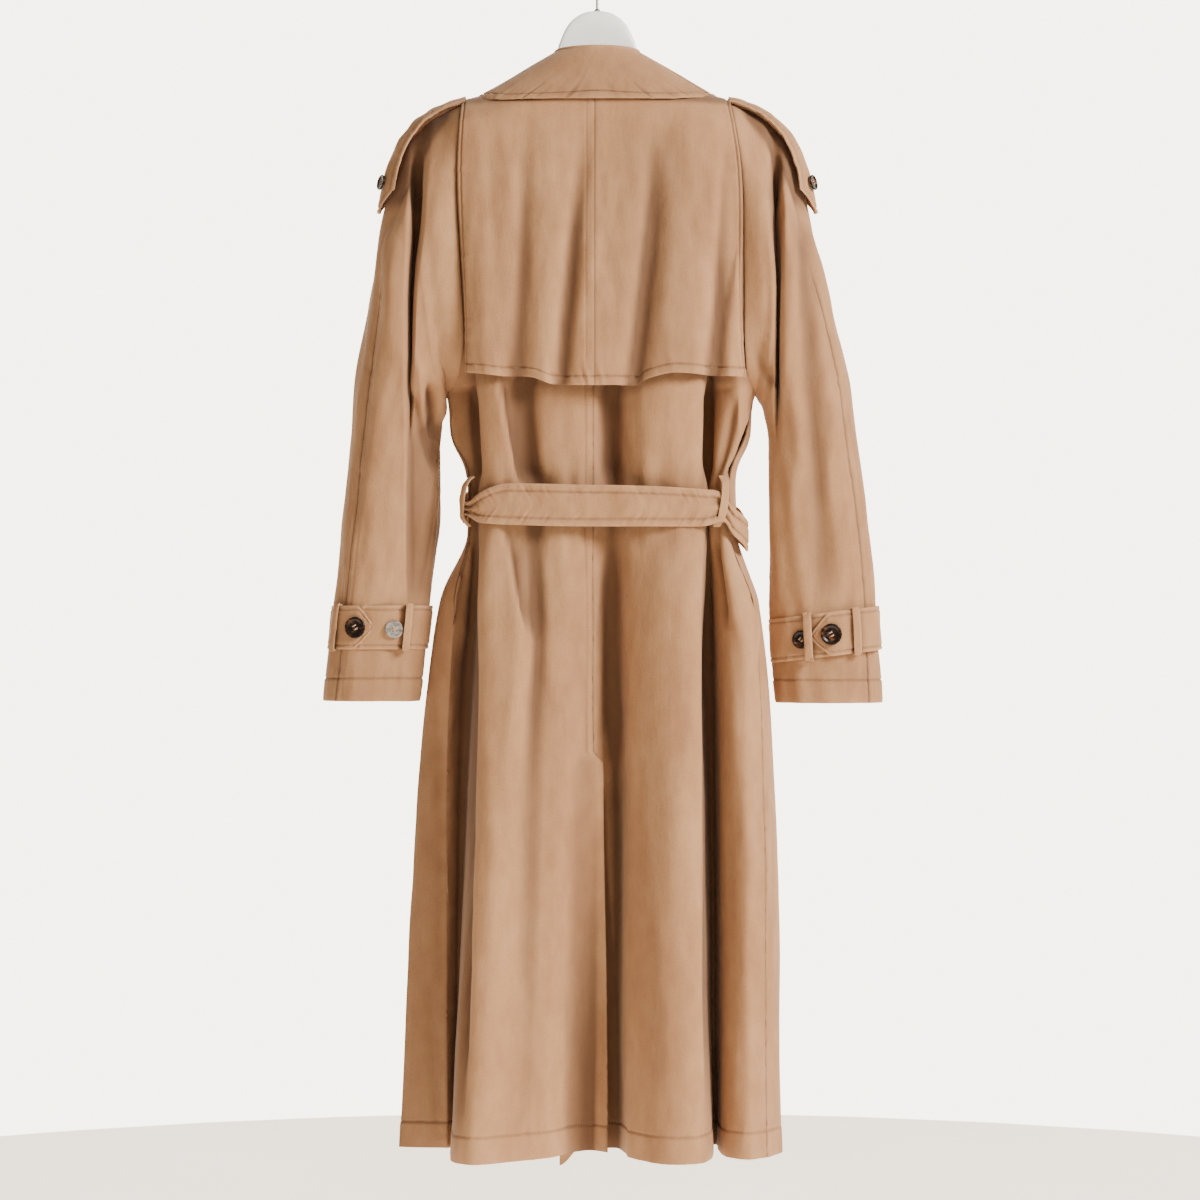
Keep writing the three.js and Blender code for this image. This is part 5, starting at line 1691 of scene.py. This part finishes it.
# ---- epaulettes
@dataclass
class Epaulette:
    """The shoulder strap, seen on edge from behind, pointed at its outer end and held by a button."""

    side: Side
    x: tuple = (141, 169, 192, 210, 223, 230, 235)
    z: tuple = (-157, -166, -180, -200, -227, -254, -280)
    width: float = 50.0
    row: float = 5.0

    def line(self, s: Array) -> Array:
        """The strap's middle line on the wearer's right; s runs from the collar end (0) to the tip (1)."""
        at = s * (len(self.x) - 1)
        stations = tuple(range(len(self.x)))
        x, z = track(stations, self.x, at), track(stations, self.z, at)
        return np.stack([x, np.zeros_like(x), z], axis=-1)

    def make(self) -> None:
        """The strap, its edge stitches and its button."""
        s = np.linspace(0, 1, 130)[:, None]
        w = np.linspace(-1, 1, 44)[None]
        half = self.width / 2 * np.where(s > 0.84, mix(1, 0.3, (s - 0.84) / 0.16), 1)
        line = self.line(s[:, 0])
        fall = mix(8, 17, ease(s / 0.6)) * (w * half * 2 / self.width) ** 2
        sign = self.side.value
        x = sign * (line[:, :1] - fall * s)
        points = np.stack(np.broadcast_arrays(x, w * half, line[:, 2:] - fall * (1 - s)), axis=2)
        grid = Grid(points[:, ::-1] if sign > 0 else points)
        edge = np.minimum(grid.from_sides(), grid.up_mm())
        from_row = edge - self.row
        height = 0.4 * Ripple(95, 24, 40)(grid.points) + pucker(grid.down_mm(), from_row, 9, 7, 0.5, 96)
        height = height - np.exp(-edge / 1.4) + stitched(from_row)
        raised = grid.raised(height + 3.6)
        name = f"epaulette_{self.side.word}"
        # Painted shade along the rows of stitches.
        add_sheet(name, raised, DOUBLE, np.exp(-edge / 2.5), 0.4 * bump(from_row / 1.2))
        out = raised.normals()
        for inset in (self.row, -self.row):
            STITCHES.sew_column(raised, inset, out, 0, 108)
        low, high = self.line(np.array([0.79])), self.line(np.array([0.81]))
        tangent = (high - low)[0] / np.linalg.norm(high - low)
        normal = np.array([-tangent[2], 0, tangent[0]])
        spot = self.line(np.array([0.8]))[0] + normal * 2.6 + (0, -12, 0)
        normal[1] = -0.5
        flip = np.array([sign, 1, 1])
        button = f"epaulette_button_{self.side.word}"
        Button(button, spot * flip, normal * flip, HORN, "dark_horn", 8.6).make()


# ---- belt
@dataclass
class Belt:
    """The belt drawn round the waist, its loops and its buckle."""

    centre: float = 5.0
    half: float = 150.0
    back: float = 57.0
    front: float = 65.0
    angles: tuple = (-20, 30, 65, 92, 116, 128, 145, 180, 212, 224, 235, 245, 252, 268, 300, 340)
    tops: tuple = (
        *(-574, -578, -594, -612, -600, -583, -579, -575),
        *(-573, -577, -584, -591, -592, -584, -577, -574),
    )
    bottoms: tuple = (
        *(-616, -619, -633, -645, -630, -614, -619, -619),
        *(-617, -616, -614, -608, -606, -611, -616, -616),
    )
    under: float = -20.0
    tip: float = 36.0
    left_loop: float = 252.0
    right_loop: float = 128.0
    row: float = 8.0
    loop_top: float = -567.0
    loop_bottom: float = -616.0

    def ring(self, angle: Array) -> Array:
        """The belt's middle ring in x and y: a squared oval, sines and cosines to the power 2/3."""
        s, c = np.sin(np.radians(angle)), np.cos(np.radians(angle))
        depth = np.where(c > 0, self.front, self.back)
        x = self.centre + signed(s, 2 / 3) * self.half
        return np.stack([x, signed(c, 2 / 3) * depth], axis=-1)

    def point(self, angle: Array, z: Array, away: Array) -> tuple[Array, Array]:
        """A point at a height and a distance outside the ring, and the outward direction."""
        angle, z, away = np.broadcast_arrays(*(np.asarray(a, float) for a in (angle, z, away)))
        along = self.ring(angle + 0.5) - self.ring(angle - 0.5)
        along = along / np.linalg.norm(along, axis=-1, keepdims=True)
        normal = np.stack([-along[..., 1], along[..., 0], 0 * z], axis=-1)
        flat = self.ring(angle)
        spot = np.concatenate([flat, z[..., None]], axis=-1) + normal * away[..., None]
        return spot, normal

    def edge(self, values: tuple, angle: Array) -> Array:
        """The height of an edge at an angle."""
        return track(self.angles, values, np.where(angle > 340, angle - 360, angle))

    def inside(self, angle: float, z: float) -> float:
        """How far the cloth of the waist lies inside the ring, looking along the ring's normal."""
        spot, normal = self.point(angle, z, 0)
        gaps = []
        for lines in (FRONT_RIGHT, BACK_RIGHT, BACK_LEFT, FRONT_LEFT):
            x = np.array([[float(track(LEVELS, line.x, z)) for line in lines]])
            y = np.array([[float(track(LEVELS, line.y, z)) for line in lines]])
            cx, cy = across(x, y, np.linspace(0, len(lines) - 1, 12 * len(lines)))
            dx, dy = cx[0] - spot[0], cy[0] - spot[1]
            near = np.abs(dx * normal[1] - dy * normal[0]) < 6
            gap = -(dx * normal[0] + dy * normal[1])
            gaps.extend(gap[near & (gap < 60)])
        return float(min(gaps))

    def make_strap(self) -> None:
        """The long strap with its rows of puckered stitches, gathered at both loops."""
        lap = 360 + self.under
        end = 360 + self.tip
        angle = np.concatenate([np.linspace(self.under, lap, 560, endpoint=False), np.linspace(lap, end, 80)])
        sag = 6 * ease((angle - 45) / 25) * ease((124 - angle) / 20)
        away = DOUBLE + sag + 4.6 * ease((angle - lap + 14) / 12)
        share = np.linspace(0, 1, 66)[:, None]
        point_end = mix(1, 0.16, ease((angle - end + 7) / 7))
        inner = 0.5 + (share - 0.5) * point_end
        z = mix(self.edge(self.tops, angle), self.edge(self.bottoms, angle), inner)
        spots, _ = self.point(angle[None], z, away[None])
        grid = Grid(spots)
        run, rim = grid.across_mm(), grid.from_ends()
        from_row = rim - self.row
        near = bump((angle - self.left_loop) / 17) + 0.8 * bump((angle - self.right_loop) / 11)
        level = (share - 0.5) * 42
        height = 0.5 * Ripple(101, 60, 40)(grid.points) + 0.25 * Ripple(102, 18, 26)(grid.points)
        gathers = np.sin(level / 2.6 + 1.2)
        height += near[None] * 1.7 * gathers
        height += pucker(run, from_row, 8, 6, 0.7, 103, 0.7) - np.exp(-rim / 1.4)
        height += stitched(from_row, 1.1)
        raised = grid.raised(height)
        # Painted shade along the rows of stitches and in the gathers' troughs by the loops.
        painted_shade = 0.5 * bump(from_row / 1.3) + near[None] * (0.35 - 0.35 * gathers)
        add_sheet("belt", raised, DOUBLE, np.exp(-rim / 2.5), painted_shade)
        out = raised.normals()
        for inset in (2.5, self.row, -2.5, -self.row):
            STITCHES.sew_row(raised, inset, out)

    def make_loop(self, name: str, angle: float, lean: float = 0.0) -> None:
        """A narrow loop sewn to the waist above and below the belt, standing off over it."""
        top, bottom = self.loop_top, self.loop_bottom

        def on_cloth(z: float) -> float:
            """Just outside the cloth of the waist."""
            return max(CLOTH + 0.9 - self.inside(angle, z), -4.5)

        over = DOUBLE + CLOTH + 1.2
        middle = (top + bottom) / 2
        high, low = on_cloth(top), on_cloth(bottom)
        key = [(top + 3, high), (top - 2, mix(high, over, 0.6)), (top - 9, over), (middle, over + 1.5)]
        key += [(bottom + 9, over), (bottom + 2, mix(low, over, 0.6)), (bottom - 3, low)]
        profile = through(np.array(key), np.linspace(0, len(key) - 1, 80))
        wide = np.linspace(-4.6, 4.6, 12)
        turned = angle + lean * (middle - profile[:, 0]) / 24
        spot, normal = self.point(turned, profile[:, 0], profile[:, 1])
        along = np.stack([normal[:, 1], -normal[:, 0], 0 * normal[:, 0]], axis=-1)
        grid = Grid(spot[:, None] + along[:, None] * wide[None, :, None])
        face = add_loop(name, grid, 0.3, Ripple(105, 14, 14))
        for inset in (1.8, -1.8):
            STITCHES.sew_column(face, inset, face.normals())

    def make_buckle(self) -> None:
        """A horn frame with a middle bar: an oval section carried round a rounded rectangle."""
        spot, _ = self.point(self.under + 10, WAIST_Z, DOUBLE + 5.2)
        turn = np.linspace(0, math.tau, 121)
        c, s = np.cos(turn), np.sin(turn)
        squared = 5
        reach = (np.abs(c) ** squared + np.abs(s) ** squared) ** (-1 / squared)
        path = np.stack([21 * reach * c, 0 * c, 26.5 * reach * s], axis=1)
        outward = np.stack([c, 0 * c, s], axis=1)
        ring = np.linspace(0, math.tau, 17)
        section = 2.9 * np.cos(ring)[None, :, None] * outward[:, None]
        section = section + 1.45 * np.sin(ring)[None, :, None] * np.array([0, 1.0, 0])
        frame_points = path[:, None] + section
        bar_z = np.linspace(-26, 26, 40)[:, None]
        bar_x, bar_y = 2.0 * np.cos(ring)[None], 1.3 * np.sin(ring)[None]
        bar = np.stack(np.broadcast_arrays(bar_x, bar_y, bar_z), axis=2)
        shift = spot + (0, 1.4, 0)
        points = np.concatenate([frame_points.reshape(-1, 3), bar.reshape(-1, 3)]) + shift
        first = quads(*frame_points.shape[:2])[:, ::-1]
        second = quads(*bar.shape[:2]) + frame_points.shape[0] * frame_points.shape[1]
        made = make_object("belt_buckle_frame", points, np.concatenate([first, second]))
        made.data.materials.append(HORN.material())
        settle(made, ("belt_buckle",))

    def make(self) -> None:
        """The whole belt."""
        self.make_strap()
        self.make_loop("belt_loop_left", self.left_loop, 3)
        self.make_loop("belt_loop_right", self.right_loop, 2.5)
        self.make_buckle()


# ---- hanger
@dataclass
class Hanger:
    """The white hanger with its domed head, and its wire hook.

    Each row of the profile is x, height of the upper and the lower edge, and half depth.
    """

    profile: tuple = (
        (0, -61.1, -118, 6.5),
        (8, -61.6, -118.4, 6.5),
        (15, -63.4, -119.4, 6.5),
        (22, -67.2, -121, 6.5),
        (28.5, -72.6, -123, 6.5),
        (33.5, -79.4, -126, 6.5),
        (37.5, -87.4, -130, 6.5),
        (41.5, -98, -136, 6.5),
        (45, -112, -142, 6.5),
        (49, -132, -149, 7),
        (54, -147, -155, 8),
        (62, -154.5, -163, 9),
        (92, -165, -178, 13),
        (144, -184, -197, 15),
        (176, -198, -210, 11),
        (187, -205, -212, 6),
        (190, -208, -209, 0.4),
    )
    hook_radius: float = 19.0
    wire: float = 1.4

    def body(self) -> None:
        """The hanger: at each x a rounded section between its edges, sines and cosines to the power 0.6."""
        right = np.array(self.profile, float)
        key = np.concatenate([right[:0:-1] * (-1, 1, 1, 1), right])
        rows = through(key, np.linspace(0, len(key) - 1, 300))
        turn = np.linspace(0, math.tau, 57)[None]
        c, s = np.cos(turn), np.sin(turn)
        x = np.broadcast_to(rows[:, :1], (len(rows), turn.shape[1]))
        upper, lower = rows[:, 1:2], rows[:, 2:3]
        y = signed(s, 0.6) * rows[:, 3:]
        z = (upper + lower) / 2 + signed(c, 0.6) * (upper - lower) / 2
        points = np.stack([x, y, z], axis=2)
        made = make_object("hanger_body", points, quads(*points.shape[:2])[:, ::-1])
        made.data.materials.append(LACQUER.material())
        settle(made, ("hanger",))

    def tube(self, name: str, path: Array, radii: Array, sides: int, nodes: tuple) -> None:
        """A round section carried along a path in the X-Z plane."""
        tangent = np.gradient(path, axis=0)
        tangent /= np.linalg.norm(tangent, axis=1, keepdims=True)
        turn = np.linspace(0, math.tau, sides + 1)[None]
        reach = radii[:, None] * np.cos(turn)
        x = path[:, :1] + tangent[:, 1:] * reach
        z = path[:, 1:] - tangent[:, :1] * reach
        points = np.stack([x, radii[:, None] * np.sin(turn), z], axis=2)
        made = make_object(name, points, quads(*points.shape[:2])[:, ::-1])
        made.data.materials.append(STEEL.material())
        settle(made, nodes)

    def make(self) -> None:
        """Domed shoulder bar, hook and the small ferrule at its foot."""
        self.body()
        turn = np.radians(np.linspace(-50, 205, 10))
        reach = self.hook_radius + self.wire
        bend = np.stack([reach * np.cos(turn), -self.hook_radius + reach * np.sin(turn)], axis=1)
        key = np.concatenate([np.array([(0, -61.5), (0, -54), (0.3, -48), (3.5, -42), (8.5, -38)]), bend])
        path = through(key, np.linspace(0, len(key) - 1, 220))
        radii = np.full(len(path), self.wire)
        radii[-3:] = self.wire * np.array([0.95, 0.7, 0.05])
        self.tube("hook_turned", path, radii, 18, ("hook",))
        height = np.array([-61.4, -61.3, -60.0, -59.4, -59.1, -59.0])
        foot = np.stack([0 * height, height], axis=1)
        self.tube("hook_ferrule", foot, np.array([0.1, 3.4, 3.2, 2.8, 2.0, 1.45]), 32, ())


# ---- studio
@dataclass
class Studio:
    """A pale floor, soft light from the upper right, and the camera behind the coat."""

    distance: float = 3.2
    aside: float = 0.003
    height: float = -0.697
    lens: float = 88.9
    sensor: float = 36.0
    floor_z: float = -1700.0
    floor_radius: float = 2600.0

    def camera(self) -> None:
        """A level camera that looks along +Y at the coat's back."""
        data = bpy.data.cameras.new("camera")
        data.lens, data.sensor_width = self.lens, self.sensor
        made = bpy.data.objects.new("camera", data)
        made.location = (self.aside, -self.distance, self.height)
        made.rotation_euler = (math.radians(90), 0, 0)
        bpy.context.scene.collection.objects.link(made)
        bpy.context.scene.camera = made

    def lamp(self, name: str, place: tuple, aim: tuple, size: float, power: float, colour: tuple) -> None:
        """A square area light at place that faces aim."""
        data = bpy.data.lights.new(name, "AREA")
        data.size, data.energy, data.color = size, power, colour
        made = bpy.data.objects.new(name, data)
        made.location = place
        away = np.subtract(place, aim)
        flat = math.hypot(away[0], away[1])
        made.rotation_euler = (math.atan2(flat, away[2]), 0, math.atan2(away[1], away[0]) + math.pi / 2)
        bpy.context.scene.collection.objects.link(made)

    def make(self) -> None:
        """Floor, world and lights."""
        ring = np.linspace(0, math.tau, 65)[:-1]
        reach = self.floor_radius
        level = np.full(len(ring), self.floor_z)
        disc = np.stack([np.cos(ring) * reach, np.sin(ring) * reach, level], axis=1)
        floor = make_object("floor", disc, np.arange(len(ring))[None])
        n = Nodes("pale_floor")
        place = n.add("ShaderNodeTexCoord").outputs["Object"]
        colour = n.ramp(n.noise(place, 1.5), [(0.3, tone(238, 226, 210)), (0.7, tone(245, 235, 221))])
        n.feed(n.shader, Base_Color=colour, Roughness=0.9, Emission_Color=colour, Emission_Strength=1.9)
        floor.data.materials.append(n.made)
        self.room()
        self.lamp("key", (2.6, -2.0, 1.0), (0, 0, -0.6), 1.2, 280, (1.0, 0.97, 0.93))

    def room(self) -> None:
        """Pale light from all round, brighter from beyond the coat's front than from behind its back."""
        world = bpy.data.worlds.new("pale_room")
        world.use_nodes = True
        tree = world.node_tree
        direction = tree.nodes.new("ShaderNodeTexCoord")
        parts = tree.nodes.new("ShaderNodeSeparateXYZ")
        tree.links.new(direction.outputs["Generated"], parts.inputs[0])
        level = tree.nodes.new("ShaderNodeMapRange")
        for socket, value in zip(level.inputs[1:5], (0.5, 0.95, 0.6, 6.9)):
            socket.default_value = value
        tree.links.new(parts.outputs[1], level.inputs[0])
        background = tree.nodes["Background"]
        background.inputs[0].default_value = (*tone(245, 236, 221), 1)
        tree.links.new(level.outputs[0], background.inputs[1])
        bpy.context.scene.world = world


def main() -> None:
    """Builds the scene in order and logs every piece."""
    logging.basicConfig(level=logging.INFO, format="%(message)s")
    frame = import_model()
    LOG.info("frame with %d nodes", len(frame["nodes"]))
    studio = Studio()
    studio.camera()
    studio.make()
    Body().make()
    StormFlap().make()
    Collar().make()
    Sleeve(Side.LEFT, (196, 192, 193, 198, 200, 202), LEFT_FOLDS, recess=11).make()
    Sleeve(Side.RIGHT, (192, 191, 191, 193, 194, 193), RIGHT_FOLDS).make()
    for side in Side:
        Epaulette(side).make()
    Cuff(Side.LEFT, under=50, tip=84, shoulder=66, button=66, spare=109, carriers=(37, 124)).make()
    Cuff(Side.RIGHT, under=80, tip=106, shoulder=88, button=87, spare=118, carriers=(60, 110), tilt=15).make()
    Belt().make()
    Hanger().make()
    STITCHES.make()


if __name__ == "__main__":
    main()
